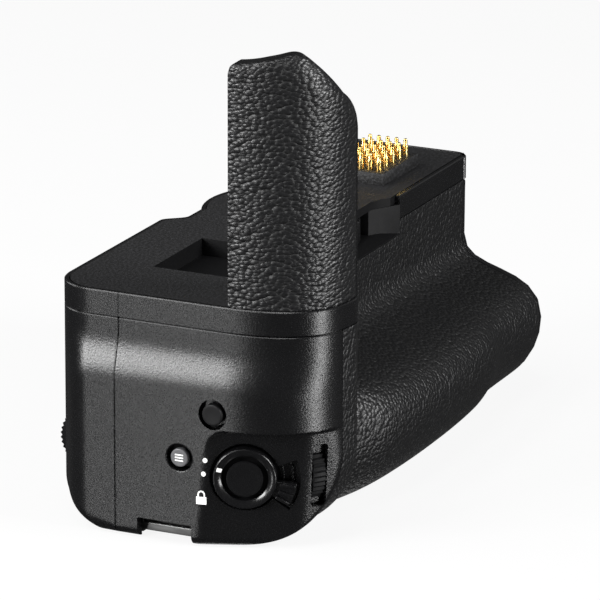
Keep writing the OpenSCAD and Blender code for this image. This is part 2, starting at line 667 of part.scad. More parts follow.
rear_slot = slot_half(rear_dial_r, rear_dial_out);
module rear_cover() color(satin) difference() {
    grid_shell(rear_grid, 0, wall, -1, [[1, 0, 1], [0, 1, 1]]);
    translate([rear_dial_x - rear_dial_t / 2 - dial_gap, -near_back - 10, rear_dial_at[2] - rear_slot])
        cube([rear_dial_t + 2 * dial_gap, 14, 2 * rear_slot]);
    on_rear(focus_at) translate([0, 0, -8]) cylinder(r = focus_r + button_gap / 2, h = 12);
}

module front_cover() color(plastic)
    grid_shell(grip_grid, rubber_t, rubber_t + wall, 1, [[0, 1, 1], [0, 1, 1]]);
module grip_rubber() color(rubber)
    grid_shell(grip_grid, 0, rubber_t, 1, [[0, 1, 1], [0, 1, 1]]);

module bottom_cover() color(plastic) difference() {
    union() {
        translate([0, 0, z_bot]) linear_extrude(under_t) polygon(under_outline);
        for (x = [-50, 30]) translate([x, chamber_y0 + 3, z_bot + under_t - eps])
            cube([4, 18, bay_rise + eps]);
    }
    translate([tripod_at[0], tripod_at[1], z_bot - 1]) cylinder(r = socket_out, h = under_t + 2);
    for (p = bottom_screw_at) translate([p[0], p[1], z_bot - 1])
        cylinder(r = head_r / 2 + head_gap, h = under_t + 2);
    for (p = bottom_screw_at) translate([p[0], p[1], z_bot - 1])
        cylinder(r = head_r + head_gap, h = 1 + head_seat);
    translate([near_len + shelf_out - strap_deep - 2, strap_y - 2, z_bot - 1])
        cube([strap_deep + 10, strap_w + 4, under_t + 2]);
}

// The section of the body where the battery end starts, drawn in by inset
section_rows = [for (v = grip_rows) let (p = grip_point(shell_x, v)) [p[1], p[2]]];
rear_section = [for (p = rear_grid[len(rear_grid) - 1]) [p[1], p[2]]];
far_section = concat(section_rows, reversed(rear_section));
function toward(p, c, d) = p + unit(c - p) * d;
far_mid = [(chamber_y0 + chamber_y1) / 2, -body_h / 2];
module far_cover() color(satin) difference() {
    rings = concat([[shell_x, 0]],
        [for (a = [0:22.5:90]) [far_x + far_round * (1 - sin(a)), far_round * (1 - cos(a))]]);
    n = len(far_section);
    last = len(rings) - 1;
    mid = n * (last + 1);
    pts = concat([for (r = rings) for (p = far_section)
        let (q = toward(p, far_mid, r[1])) [r[0], q[0], q[1]]],
        [[shell_x, far_mid[0], far_mid[1]], [far_x, far_mid[0], far_mid[1]]]);
    lids = [for (i = [0:n - 1]) let (j = (i + 1) % n)
        for (f = [[mid, i, j], [mid + 1, last * n + j, last * n + i]]) f];
    sides = [for (k = [0:last - 1]) for (i = [0:n - 1]) let (j = (i + 1) % n)
        for (f = quad(k * n + i, k * n + j, (k + 1) * n + j, (k + 1) * n + i)) [f[0], f[2], f[1]]];
    polyhedron(pts, concat(lids, sides));
    translate([far_x - 1, tray_y0 - pack_gap, tray_z0 - pack_gap])
        cube([cap_t + 2, tray_d + 2 * pack_gap, tray_h + 2 * pack_gap]);
}

module wheel_recess() color(plastic) difference() {
    union() {
        for (m = [0, 1]) mirror([m, 0, 0]) translate([0, 0, -scoop_h + seam_gap])
            linear_extrude(scoop_h - plate_t - 2 * seam_gap)
            polygon([[scoop_w - seam_gap, cheek_in + seam_gap], [scoop_w - 8.5, cheek_in + seam_gap],
                [scoop_w - 8.5, scoop_in - 0.6], [scoop_w - 5.3, scoop_in + 1.1],
                [scoop_w - seam_gap, plate_front]]);
        translate([seam_gap - scoop_w, 0, 0]) rotate([90, 0, 90]) linear_extrude(2 * (scoop_w - seam_gap))
            polygon([[cheek_in + seam_gap, -scoop_h + seam_gap], [cheek_in + seam_gap, wheel_z0 - 0.6],
                [scoop_in + 1, wheel_z0 - 0.6], [plate_front - 0.1, -scoop_h + 0.5],
                [plate_front - 0.1, -scoop_h + seam_gap]]);
    }
    translate([0, 0, wheel_z0 - wheel_gap]) cylinder(r = wheel_r + wheel_gap, h = 20, $fn = 96);
}

// The shell covers the skin's front edge in a narrow strip
edge_w = 0.8;
edge_gap = 0.05;
foot_h = 4;
foot_w = 3;
skin_drop = 0.4;
module tower_shell() color(plastic) intersection() {
    d = tower_setback + skin_t;
    union() {
        linear_extrude(tower_peak + roll_h) plan_band(d, d + tower_t);
        translate([tower_x, near_front - d - tower_t, 0])
            cube([edge_w, tower_t + skin_t, tower_peak]);
        linear_extrude(foot_h) plan_band(d, d + tower_t + foot_w);
    }
    under_peak(0);
    under_roll(skin_t);
}
// The skin lies on the outside of the shell and folds over the leaning edge
module tower_skin() color(rubber) intersection() {
    d = tower_setback + skin_t;
    difference() {
        linear_extrude(tower_peak + roll_h) plan_band(tower_setback, d + tower_t);
        intersection() {
            linear_extrude(tower_peak + 2 * roll_h) plan_band(d, d + tower_t + skin_t);
            under_roll(skin_t);
        }
        translate([tower_x - edge_w, near_front - corner_front, -foot_h])
            cube([2 * edge_w + edge_gap, corner_front + foot_h, tower_peak + 2 * roll_h]);
    }
    under_peak(skin_drop);
    under_roll(0);
}
liner_drop = 6;
module tower_liner() color(rubber) intersection() {
    d = tower_setback + skin_t + tower_t;
    translate([0, 0, liner_drop]) linear_extrude(tower_peak) plan_band(d, d + liner_t);
    under_peak(liner_drop);
}

module connector_block() color(plastic) difference() {
    translate([block_x1 - block_l, block_y1 - block_w, 0]) cube([block_l, block_w, block_h]);
    for (i = [0:pin_cols - 1]) for (j = [0:pin_rows - 1])
        translate([pin_at(i, j)[0], pin_at(i, j)[1], 0.6])
            cylinder(r = pin_r + run_gap, h = block_h, $fn = 24);
}
module contact_pins() color(gold)
    for (i = [0:pin_cols - 1]) for (j = [0:pin_rows - 1]) translate([pin_at(i, j)[0], pin_at(i, j)[1], 0.6])
        union() {
            cylinder(r = pin_r, h = block_h - 0.6 + pin_up * 0.6, $fn = 24);
            cylinder(r = pin_r * 0.68, h = block_h - 0.6 + pin_up, $fn = 24);
        }
module locating_pins() color(steel)
    for (p = locating_at) translate([p[0], p[1], -plate_t]) union() {
        cylinder(r = locating_r - run_gap, h = plate_t + locating_up * 0.8);
        cylinder(r1 = locating_r - run_gap, r2 = locating_r * 0.6, h = plate_t + locating_up);
    }

lug_t = 1.2;
lug_x0 = near_len + shelf_out - strap_deep - lug_t;
lug_x1 = near_len + shelf_out - max(wall, end_round) - 2 * under_gap;
module strap_lug() color(steel) {
    translate([lug_x0, strap_y - lug_t, z_bot + 0.4]) difference() {
        cube([lug_x1 - lug_x0, strap_w + 2 * lug_t, strap_tall - 0.4 + lug_t]);
        translate([lug_t, lug_t, -1]) cube([strap_deep, strap_w, strap_tall + 0.6]);
    }
    translate([lug_x1 - strap_bar, strap_y - lug_t / 2, z_bot + 1])
        cube([strap_bar, strap_w + lug_t, strap_bar]);
}

module tripod_socket() color(steel) translate([tripod_at[0], tripod_at[1], z_bot]) difference() {
    union() {
        cylinder(r = socket_out - run_gap, h = socket_h);
        translate([0, 0, under_t]) cylinder(r = socket_out + 0.4, h = 1.2);
    }
    translate([0, 0, -1]) cylinder(r = socket_r, h = socket_h + 2);
}

module battery_chamber() color(plastic) difference() {
    union() {
        translate([chamber_x0, chamber_y0, chamber_z0])
            cube([chamber_x1 - chamber_x0, chamber_y1 - chamber_y0, chamber_z1 - chamber_z0]);
        translate([0, 0, chamber_z1 - eps]) cylinder(r = boss_r, h = wheel_z0 - 1 - chamber_z1);
        for (y = [chamber_y0 + 4, chamber_y1 - 4]) for (z = [chamber_z0 + 5, chamber_z1 - 5])
            translate([chamber_x1 - eps, y, z]) rotate([0, 90, 0]) cylinder(r = 2, h = board_off + eps);
    }
    translate([chamber_x0 - 1, chamber_y0 + chamber_wall, chamber_z0 + chamber_wall])
        cube([chamber_x1 - chamber_x0 + 1 - chamber_wall, tray_d + 2 * pack_gap, tray_h + 2 * pack_gap]);
    translate([0, 0, chamber_z1 - chamber_wall + 0.3]) cylinder(r = stub_r + run_gap, h = 20);
}
module chamber_contacts() color(gold)
    for (i = [-1:1])
        translate([chamber_x1 - chamber_wall - spring_t, contact_y(i), contact_z])
            cube([spring_t, contact_w, contact_h]);
module main_board() color("#24402c")
    translate([chamber_x1 + board_off, chamber_y0, chamber_z0]) difference() {
        cube([board_t, chamber_y1 - chamber_y0, chamber_z1 - chamber_z0]);
        for (y = [4, chamber_y1 - chamber_y0 - 4]) for (z = [5, chamber_z1 - chamber_z0 - 5])
            translate([-1, y, z]) rotate([0, 90, 0]) cylinder(r = 0.8, h = board_t + 2);
    }

// Shutter stack, measured outwards from the facet
bush_top = -0.8;
bush_low = -wall - stub_gap - flange_t;
stem_r = 2.4;
stem_low = -9;
ring_low = -1.9;
ring_top = 1.7;
module shutter_bush() color(plastic) on_shutter() difference() {
    union() {
        translate([0, 0, bush_low]) cylinder(r = ring_out + 1.7, h = flange_t);
        translate([0, 0, bush_low]) cylinder(r = ring_in - run_gap, h = bush_top - bush_low);
        translate([0, 0, stem_low - shutter_travel])
            cylinder(r = stem_r + 1.6, h = bush_low - stem_low + shutter_travel + 1);
    }
    translate([0, 0, stem_low - 10]) cylinder(r = stem_r + run_gap, h = 30);
}
module shutter_switch() color(satin) on_shutter()
    translate([0, 0, stem_low - shutter_travel - switch_t]) cylinder(r = stem_r + 1.6, h = switch_t);
module shutter_button() color(satin) on_shutter() union() {
    translate([0, 0, bush_top + shutter_travel + 0.2]) cylinder(r = shutter_r, h = 1);
    translate([0, 0, stem_low + 0.1]) cylinder(r = stem_r, h = bush_top + shutter_travel + 0.5 - stem_low);
}
module lock_lever() color(satin) on_shutter() difference() {
    union() {
        translate([0, 0, ring_low]) cylinder(r = ring_out, h = ring_top - ring_low);
        rotate([0, 0, tab_angle]) translate([0, 0, tab_low]) linear_extrude(tab_t) intersection() {
            circle(r = tab_reach);
            polygon([[0, 0], 2 * tab_reach * [cos(tab_half), -sin(tab_half)],
                2 * tab_reach * [cos(tab_half), sin(tab_half)]]);
        }
    }
    translate([0, 0, ring_low - 1]) cylinder(r = ring_in, h = ring_top - ring_low + 2);
}

// A small button: a flanged guide inside the wall, a switch on its end and the button in it
small_stem = 1.5;
guide_l = 6;
flange_gap = 0.2;
module guide(r) {
    difference() {
        union() {
            translate([0, 0, -wall - flange_gap - flange_t]) intersection() {
                cylinder(r = r + 1.6, h = flange_t);
                translate([-r - 2, -r - 2, 0]) cube([2 * r + 2.3, 2 * r + 4, flange_t]);
            }
            translate([0, 0, -wall - guide_l]) cylinder(r = small_stem + 1.2, h = guide_l - flange_gap);
        }
        translate([0, 0, -wall - guide_l - 1]) cylinder(r = small_stem + run_gap, h = guide_l + 3);
    }
}
module guide_switch() {
    translate([0, 0, -wall - guide_l - switch_t]) cylinder(r = small_stem + 1.2, h = switch_t);
}
module button(r, up) {
    union() {
        translate([0, 0, -wall + button_travel + 0.1]) cylinder(r = r, h = wall - button_travel - 0.1 + up);
        translate([0, 0, -wall - guide_l + button_travel + 0.1]) cylinder(r = small_stem, h = guide_l);
    }
}
module function_guide() color(plastic) on_end(function_at) guide(function_r);
module function_switch() color(satin) on_end(function_at) guide_switch();
module function_button() color(satin) on_end(function_at) button(function_r, 0.5);
module menu_guide() color(plastic) on_end(menu_at) guide(menu_r);
module menu_switch() color(satin) on_end(menu_at) guide_switch();
module menu_button() color("#6d6d6e") on_end(menu_at) button(menu_r, 0.1);
module focus_guide() color(plastic) on_rear(focus_at) guide(focus_r);
module focus_switch() color(satin) on_rear(focus_at) guide_switch();
module focus_button() color(satin) on_rear(focus_at) button(focus_r, 0.7);

module front_dial() color(plastic) on_front_dial()
    knurled(front_dial_r, front_dial_t, 40, 0.5, axle_r + run_gap);
module rear_dial() color(plastic) translate(rear_dial_at) rotate([0, 90, 0])
    knurled(rear_dial_r, rear_dial_t, 38, 0.5, axle_r + run_gap);
// Two cheeks and the axle that a dial turns on, reaching out to the inside of the wall
module dial_bracket(t, reach) {
    union() {
        for (s = [-1, 1]) translate([-4, -3, s * (t / 2 + dial_gap + bracket_t / 2) - bracket_t / 2])
            cube([4 + reach, 6, bracket_t]);
        translate([0, 0, -t / 2 - dial_gap - bracket_t])
            cylinder(r = axle_r, h = t + 2 * dial_gap + 2 * bracket_t);
    }
}
module front_dial_bracket() color(steel) on_front_dial()
    dial_bracket(front_dial_t, 2);
module rear_dial_bracket() color(steel) translate(rear_dial_at) rotate([0, 90, 0]) rotate([0, 0, -90])
    dial_bracket(rear_dial_t, 2);

rest_t = 1.2;
rest_w = 16;
rest_l = 34;
rest_x = 38;
rest_z = -28;
module thumb_rest() color(rubber)
    translate([rest_x, -near_back - rest_t, rest_z]) rotate([-90, 0, 0]) linear_extrude(rest_t) union() {
        square([rest_w, rest_l - rest_w], center = true);
        for (s = [-1, 1]) translate([0, s * (rest_l - rest_w) / 2]) circle(r = rest_w / 2);
    }

module bottom_screws() color(steel)
    for (p = bottom_screw_at) translate([p[0], p[1], z_bot + head_seat]) mirror([0, 0, 1])
        screw(head_r, shank_l);
module top_screws() color(steel)
    for (p = top_screw_at) translate([p[0], p[1], -head_h]) screw(head_r, shank_l);

module thumbwheel() color(satin) translate([0, 0, (wheel_z0 + wheel_z1) / 2])
    knurled(wheel_r, wheel_t, 72, 0.8, stub_r + 0.02);
screw_tip = 0.6;
module camera_screw() color(steel) union() {
    cylinder(r = screw_r, h = screw_up - screw_tip);
    translate([0, 0, screw_up - screw_tip]) cylinder(r1 = screw_r, r2 = screw_r - screw_tip, h = screw_tip);
    translate([0, 0, chamber_z1 + stub_gap]) cylinder(r = stub_r, h = -chamber_z1 - stub_gap + eps);
}

function bay_x(i) = tray_x0 + tray_wall + i * (pack_l + tray_wall + 2 * pack_gap);
module battery_tray() color(plastic) difference() {
    translate([tray_x0, tray_y0, tray_z0]) cube([tray_l, tray_d, tray_h]);
    for (i = [0, 1]) translate([bay_x(i), tray_y0 + tray_wall, tray_z0 + tray_wall])
        cube([pack_l + 2 * pack_gap, tray_d, pack_w + 2 * pack_gap]);
    for (i = [0, 1]) translate([bay_x(i) + pack_l / 2, tray_y0 - 1, tray_z0 + tray_h / 2])
        rotate([-90, 0, 0]) cylinder(r = 9, h = tray_wall + 2);
    translate([tray_x0 - 1, tray_y0 + tray_d / 2, tray_z0 + tray_h / 2]) rotate([0, 90, 0])
        cylinder(r = 3, h = tray_wall + 2);
}
module pack(i)
    translate([bay_x(i) + pack_gap, tray_y0 + tray_wall + pack_gap, tray_z0 + tray_wall + pack_gap])
    cube([pack_l, pack_t, pack_w]);
module battery_a() color("#3a3a3c") pack(0);
module battery_b() color("#3a3a3c") pack(1);
module tray_contacts() color(gold)
    for (i = [-1:1]) translate([tray_x1, contact_y(i), contact_z])
        cube([spring_t / 2, contact_w, contact_h]);
key_shaft = 2;
key_t = 0.8;
key_sink = 1.4;
key_bar = 2.4;
module tray_cap() color(satin) translate([far_x, tray_y0, tray_z0]) difference() {
    cube([cap_t, tray_d, tray_h]);
    translate([-1, tray_d / 2, tray_h / 2]) rotate([0, 90, 0])
        cylinder(r = key_r + pack_gap, h = 1 + key_sink + stub_gap);
    translate([-1, tray_d / 2, tray_h / 2]) rotate([0, 90, 0])
        cylinder(r = key_shaft + run_gap, h = cap_t + 2);
}
module latch_key() color(steel) translate([far_x, tray_y0 + tray_d / 2, tray_z0 + tray_h / 2])
    rotate([0, 90, 0]) union() {
        translate([0, 0, key_sink - key_t]) cylinder(r = key_r, h = key_t);
        translate([-key_bar / 2, 1 - key_r, 0.1]) cube([key_bar, 2 * key_r - 2, key_t]);
        translate([0, 0, 1]) cylinder(r = key_shaft, h = cap_t + tray_wall - 1);
    }
tongue_r = 2.6;
tongue_t = 0.25;
module latch_tongue() color(steel)
    translate([far_x + cap_t + tray_wall, tray_y0 + tray_d / 2, tray_z0 + tray_h / 2]) rotate([0, 90, 0])
    cylinder(r = tongue_r, h = tongue_t);

top_cover();
end_cover();
rear_cover();
front_cover();
grip_rubber();
bottom_cover();
far_cover();
wheel_recess();
tower_shell();
tower_skin();
tower_liner();
connector_block();
contact_pins();
locating_pins();
strap_lug();
tripod_socket();
battery_chamber();
chamber_contacts();
main_board();
shutter_bush();
shutter_switch();
function_guide();
function_switch();
menu_guide();
menu_switch();
focus_guide();
focus_switch();
front_dial_bracket();
rear_dial_bracket();
thumb_rest();
bottom_screws();
top_screws();
shutter_button();
lock_lever();
function_button();
menu_button();
focus_button();
front_dial();
rear_dial();
thumbwheel();
camera_screw();
battery_tray();
tray_cap();
battery_a();
battery_b();
tray_contacts();
latch_key();
latch_tongue();
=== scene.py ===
# %% [markdown]
# A vertical battery grip for a camera, dressed for the studio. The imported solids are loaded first
# and stay as a fixed frame: every piece below takes its place and its size from them, rides on one
# of their bodies and stands in for the solid that it refines. Lengths are written in millimetres
# and turned into metres at the end of each piece.

# %% The frame
import json
import math

import bmesh
import bpy
from mathutils import Matrix, Vector


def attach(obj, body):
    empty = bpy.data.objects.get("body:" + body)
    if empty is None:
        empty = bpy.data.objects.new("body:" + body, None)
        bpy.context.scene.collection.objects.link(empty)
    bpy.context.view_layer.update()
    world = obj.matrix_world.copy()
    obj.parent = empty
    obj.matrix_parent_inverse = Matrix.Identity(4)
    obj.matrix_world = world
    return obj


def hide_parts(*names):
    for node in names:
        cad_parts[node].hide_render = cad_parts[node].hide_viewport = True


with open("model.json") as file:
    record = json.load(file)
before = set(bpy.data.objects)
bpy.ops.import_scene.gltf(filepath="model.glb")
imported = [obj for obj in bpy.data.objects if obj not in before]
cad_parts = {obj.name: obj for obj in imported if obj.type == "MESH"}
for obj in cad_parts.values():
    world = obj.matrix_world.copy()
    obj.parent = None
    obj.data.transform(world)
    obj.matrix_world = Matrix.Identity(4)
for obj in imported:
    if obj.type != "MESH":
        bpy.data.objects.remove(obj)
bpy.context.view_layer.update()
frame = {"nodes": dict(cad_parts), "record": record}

MM = 0.001

# %% [markdown]
# The body was drawn from a few sizes and from smooth curves through named points. The same sizes
# are repeated here, so that the dense surfaces below lie exactly on the coarse solids.

# %% Sizes of the body
near_len, far_len, body_h = 83.0, 67.0, 60.5
near_back, far_back, near_front = 24.0, 19.0, 48.2
plate_front, band_h, wall, seam_gap = 21.4, 6.2, 2.0, 0.1
corner_front, corner_turn, corner_power = 20.0, 26.2, 2.38
corner_rear, corner_far = 11.0, 4.0
end_round, rear_round, rear_rise, front_round = 2.6, 12.0, 13.0, 23.5
shelf_out, seam_y, hand_over = 2.4, -5.2, 77.5
z_bot, z_seam = -body_h, -band_h - seam_gap
shell_x = 4.5 - far_len
corner_cx, corner_cy = near_len - corner_front, near_front - corner_turn
scoop_w, scoop_h, scoop_in, cheek_in = 22.5, 10.3, 17.0, 12.5
wheel_r, wheel_gap, plate_t = 18.8, 0.5, 2.2
housing_r = wheel_r + wheel_gap + wall
print("length", near_len + far_len, "height", body_h)

# %% [markdown]
# The front corner under the tower isn't a circle in plan. It starts to turn early and closes tightly
# at the front, which a superellipse draws with one number, its power.


# %% The front corner
def corner_at(degrees):
    """A point of the corner in plan, from the end face at 0 to the front at 90."""
    c, s = (max(0.0, f(math.radians(degrees))) ** (2 / corner_power) for f in (math.cos, math.sin))
    return Vector((corner_cx + corner_front * c, corner_cy + corner_turn * s))


def corner_out(degrees):
    """The outward direction at that point."""
    c, s = (max(0.0, f(math.radians(degrees))) ** (2 - 2 / corner_power) for f in (math.cos, math.sin))
    return Vector((c / corner_front, s / corner_turn)).normalized()


def corner_angle(turn):
    """Where on the corner the outward direction is turned by so many degrees."""
    return math.degrees(math.atan((math.tan(math.radians(turn)) * corner_turn / corner_front)
                                  ** (1 / (2 - 2 / corner_power))))


cover_x, cover_y = corner_at(hand_over)
print("cover edge", round(cover_x, 2), round(cover_y, 2))


# %% Small curve tools
def clamp01(t):
    return max(0.0, min(1.0, t))


def ease(t):
    c = clamp01(t)
    return c * c * (3 - 2 * c)


def mix(a, b, t):
    return a + (b - a) * t


def soft_positive(h, w):
    """max(0, h) with a rounded corner that is 2 w wide."""
    return 0.0 if h < -w else h if h > w else (h + w) ** 2 / (4 * w)


def knots(pairs, t):
    """Straight interpolation through (t, value) pairs."""
    for (t0, a), (t1, b) in zip(pairs, pairs[1:]):
        if t <= t1:
            return mix(a, b, (t - t0) / (t1 - t0))
    return pairs[-1][1]


def curve(points, x):
    """Height at x of a smooth curve through points that run towards -X."""
    def slope(i):
        a, b = points[max(i - 1, 0)], points[min(i + 1, len(points) - 1)]
        return (b[1] - a[1]) / (b[0] - a[0])
    i = 0
    while i < len(points) - 2 and x < points[i + 1][0]:
        i += 1
    w = points[i + 1][0] - points[i][0]
    t = (x - points[i][0]) / w
    return ((2 * t ** 3 - 3 * t * t + 1) * points[i][1] + (t ** 3 - 2 * t * t + t) * slope(i) * w
            + (3 * t * t - 2 * t ** 3) * points[i + 1][1] + (t ** 3 - t * t) * slope(i + 1) * w)


def turned(v, axis, degrees):
    return Matrix.Rotation(math.radians(degrees), 3, axis) @ Vector(v)


print("ease at a quarter", ease(0.25))

# %% [markdown]
# Every finish is a small tree of nodes. Colours are picked as sRGB hex values, as on a colour
# chart, and one function turns them into the linear values that the shader works in. One more
# function adds a node, sets its values and joins its links, so that a finish reads as a short list.


# %% Colours and nodes
def linear(hex_colour):
    """sRGB hex to linear RGBA."""
    channels = [int(hex_colour[i:i + 2], 16) / 255 for i in (1, 3, 5)]
    return [c / 12.92 if c <= 0.04045 else ((c + 0.055) / 1.055) ** 2.4 for c in channels] + [1.0]


def node(tree, kind, inputs=None, **settings):
    """A shader node with its settings; an input is a value or another node's output."""
    n = tree.nodes.new("ShaderNode" + kind)
    for key, value in settings.items():
        setattr(n, key, value)
    for key, value in (inputs or {}).items():
        if isinstance(value, bpy.types.NodeSocket):
            tree.links.new(value, n.inputs[key])
        else:
            n.inputs[key].default_value = value
    return n


def new_finish(name, **shader_inputs):
    """A material with a bare shader; returns the material, its tree and the shader."""
    material = bpy.data.materials.new(name)
    material.use_nodes = True
    tree = material.node_tree
    tree.nodes.clear()
    named = {key.replace("_", " "): value for key, value in shader_inputs.items()}
    shader = node(tree, "BsdfPrincipled", named)
    node(tree, "OutputMaterial", {"Surface": shader.outputs["BSDF"]})
    return material, tree, shader


def per_mm(size):
    """Texture scale for a pattern whose cells are this many millimetres wide."""
    return 1 / (size * MM)


print("mid gray is", [round(c, 3) for c in linear("#808080")][:3])

# %% [markdown]
# The hard covers are black ABS, moulded in a spark-eroded tool. The tool leaves a fine even grit,
# so the plastic looks satin: dark from most sides, with a broad pale gleam where a lamp stands over
# it. The grit is drawn at almost half a millimetre, as coarse as it needs to be to show.

# %% Satin ABS of the covers
satin_abs, tree, shader = new_finish("moulded_abs_satin", Roughness=0.42, IOR=1.5)
coords = node(tree, "TexCoord").outputs["Object"]
grit = node(tree, "TexNoise", {"Vector": coords, "Scale": per_mm(0.42), "Detail": 3.0, "Roughness": 0.6})
cloud = node(tree, "TexNoise", {"Vector": coords, "Scale": per_mm(14), "Detail": 2.0})
tone = node(tree, "ValToRGB", {"Fac": cloud.outputs["Fac"]})
tone.color_ramp.elements[0].color = linear("#0a0a0b")
tone.color_ramp.elements[1].color = linear("#0e0e0f")
sheen = node(tree, "MapRange", {"Value": grit.outputs["Fac"], "To Min": 0.20, "To Max": 0.33})
bump = node(tree, "Bump", {"Height": grit.outputs["Fac"], "Strength": 1.0, "Distance": 0.06 * MM})
for socket, source in (("Base Color", tone.outputs["Color"]), ("Roughness", sheen.outputs["Result"]),
                       ("Normal", bump.outputs["Normal"])):
    tree.links.new(source, shader.inputs[socket])
print(satin_abs.name)

# %% [markdown]
# The plate that the camera sits on comes from a coarser tool. It is duller, and its colour carries
# tiny bright grains as a painted sparkle of glints. The inner mouldings use the same finish.

# %% Coarse ABS of the plate
coarse_abs, tree, shader = new_finish("moulded_abs_coarse", Roughness=0.6, IOR=1.5)
coords = node(tree, "TexCoord").outputs["Object"]
grain = node(tree, "TexNoise", {"Vector": coords, "Scale": per_mm(0.7), "Detail": 3.0, "Roughness": 0.6})
# Painted glints: the grains past the upper stop of the ramp are painted bright and stand in for a sparkle.
tone = node(tree, "ValToRGB", {"Fac": grain.outputs["Fac"]})
tone.color_ramp.elements[0].position, tone.color_ramp.elements[1].position = 0.45, 0.66
tone.color_ramp.elements[0].color = linear("#050506")
tone.color_ramp.elements[1].color = linear("#28282a")
bump = node(tree, "Bump", {"Height": grain.outputs["Fac"], "Strength": 1.0, "Distance": 0.2 * MM})
tree.links.new(tone.outputs["Color"], shader.inputs["Base Color"])
tree.links.new(bump.outputs["Normal"], shader.inputs["Normal"])
print(coarse_abs.name)

# %% [markdown]
# The grip is wrapped in soft rubber and the tower in leatherette. Both carry a pebbled grain: small
# rounded islands with creases between them. A cell pattern gives the islands, a slow noise bends
# it so that no two are alike, and the crease is kept dull while the tops gleam. The colour is
# painted shade, darker in the creases and lighter on the tops. The grain is about a millimetre
# on the rubber and larger and deeper on the leatherette.


# %% Pebbled rubber and leatherette
def pebbled(name, cell, flat, depth, warp, low, high, dull, gleam):
    """Pebbles that are one cell wide and flat times lower than wide."""
    material, tree, shader = new_finish(name, IOR=1.5)
    coords = node(tree, "TexCoord").outputs["Object"]
    laid = node(tree, "Mapping", {"Vector": coords, "Scale": (1, 1, flat)})
    drift = node(tree, "TexNoise", {"Vector": laid.outputs["Vector"], "Scale": per_mm(cell * 1.8), "Detail": 1.0})
    centred = node(tree, "VectorMath", {0: drift.outputs["Color"], 1: (0.5, 0.5, 0.5)}, operation="SUBTRACT")
    bent = node(tree, "VectorMath", {0: centred.outputs["Vector"], "Scale": warp * MM}, operation="SCALE")
    moved = node(tree, "VectorMath", {0: laid.outputs["Vector"], 1: bent.outputs["Vector"]}, operation="ADD")
    cells = node(tree, "TexVoronoi", {"Vector": moved.outputs["Vector"], "Scale": per_mm(cell)}, feature="F1")
    fall = node(tree, "Math", {0: cells.outputs["Distance"], 1: 2.0}, operation="POWER")
    dome = node(tree, "Math", {0: 1.0, 1: fall.outputs["Value"]}, operation="SUBTRACT")
    folds = node(tree, "TexNoise", {"Vector": moved.outputs["Vector"], "Scale": per_mm(cell * 0.55), "Detail": 2.0})
    height = node(tree, "Math", {0: folds.outputs["Fac"], 1: 0.15, 2: dome.outputs["Value"]}, operation="MULTIPLY_ADD")
    # Painted shade: the base colour darkens from the island tops (high) into the creases (low).
    tone = node(tree, "ValToRGB", {"Fac": dome.outputs["Value"]})
    tone.color_ramp.elements[0].position, tone.color_ramp.elements[1].position = 0.5, 0.85
    tone.color_ramp.elements[0].color = linear(low)
    tone.color_ramp.elements[1].color = linear(high)
    sheen = node(tree, "MapRange", {"Value": dome.outputs["Value"], "From Min": 0.5, "To Min": dull, "To Max": gleam})
    bump = node(tree, "Bump", {"Height": height.outputs["Value"], "Strength": 1.0, "Distance": depth * MM})
    for socket, source in (("Base Color", tone.outputs["Color"]), ("Roughness", sheen.outputs["Result"]),
                           ("Normal", bump.outputs["Normal"])):
        tree.links.new(source, shader.inputs[socket])
    return material


# Each takes the painted shade of its creases (low) and the tone of its tops (high), then the roughness in the creases
# and on the tops.
grip_skin = pebbled("pebbled_grip_rubber", 1.0, 1.0, 0.34, 0.35, "#040405", "#0b0b0c", 0.52, 0.36)
tower_hide = pebbled("grained_leatherette", 1.5, 1.8, 0.36, 0.6, "#060607", "#141415", 0.5, 0.28)
print(grip_skin.name, tower_hide.name)

# %% [markdown]
# The small finishes: plain black moulding for knobs, gray moulding for the menu button, white ink
# in the marks, gold plate on the contacts, satin steel on screws and the strap bar, and the inner
# pieces. Each has a slow change of tone or a fine grain of its own.


# %% Small finishes
def small_finish(name, low, high, cell, roughness, metallic=0.0, depth=0.02, stretch=(1, 1, 1), ior=1.5):
    """A finish with a grain of one cell size, between two tones."""
    material, tree, shader = new_finish(name, Roughness=roughness, Metallic=metallic, IOR=ior)
    coords = node(tree, "TexCoord").outputs["Object"]
    laid = node(tree, "Mapping", {"Vector": coords, "Scale": stretch})
    grain = node(tree, "TexNoise", {"Vector": laid.outputs["Vector"], "Scale": per_mm(cell), "Detail": 3.0})
    tone = node(tree, "ValToRGB", {"Fac": grain.outputs["Fac"]})
    tone.color_ramp.elements[0].position, tone.color_ramp.elements[1].position = 0.3, 0.7
    tone.color_ramp.elements[0].color = linear(low)
    tone.color_ramp.elements[1].color = linear(high)
    bump = node(tree, "Bump", {"Height": grain.outputs["Fac"], "Strength": 0.4, "Distance": depth * MM})
    tree.links.new(tone.outputs["Color"], shader.inputs["Base Color"])
    tree.links.new(bump.outputs["Normal"], shader.inputs["Normal"])
    return material


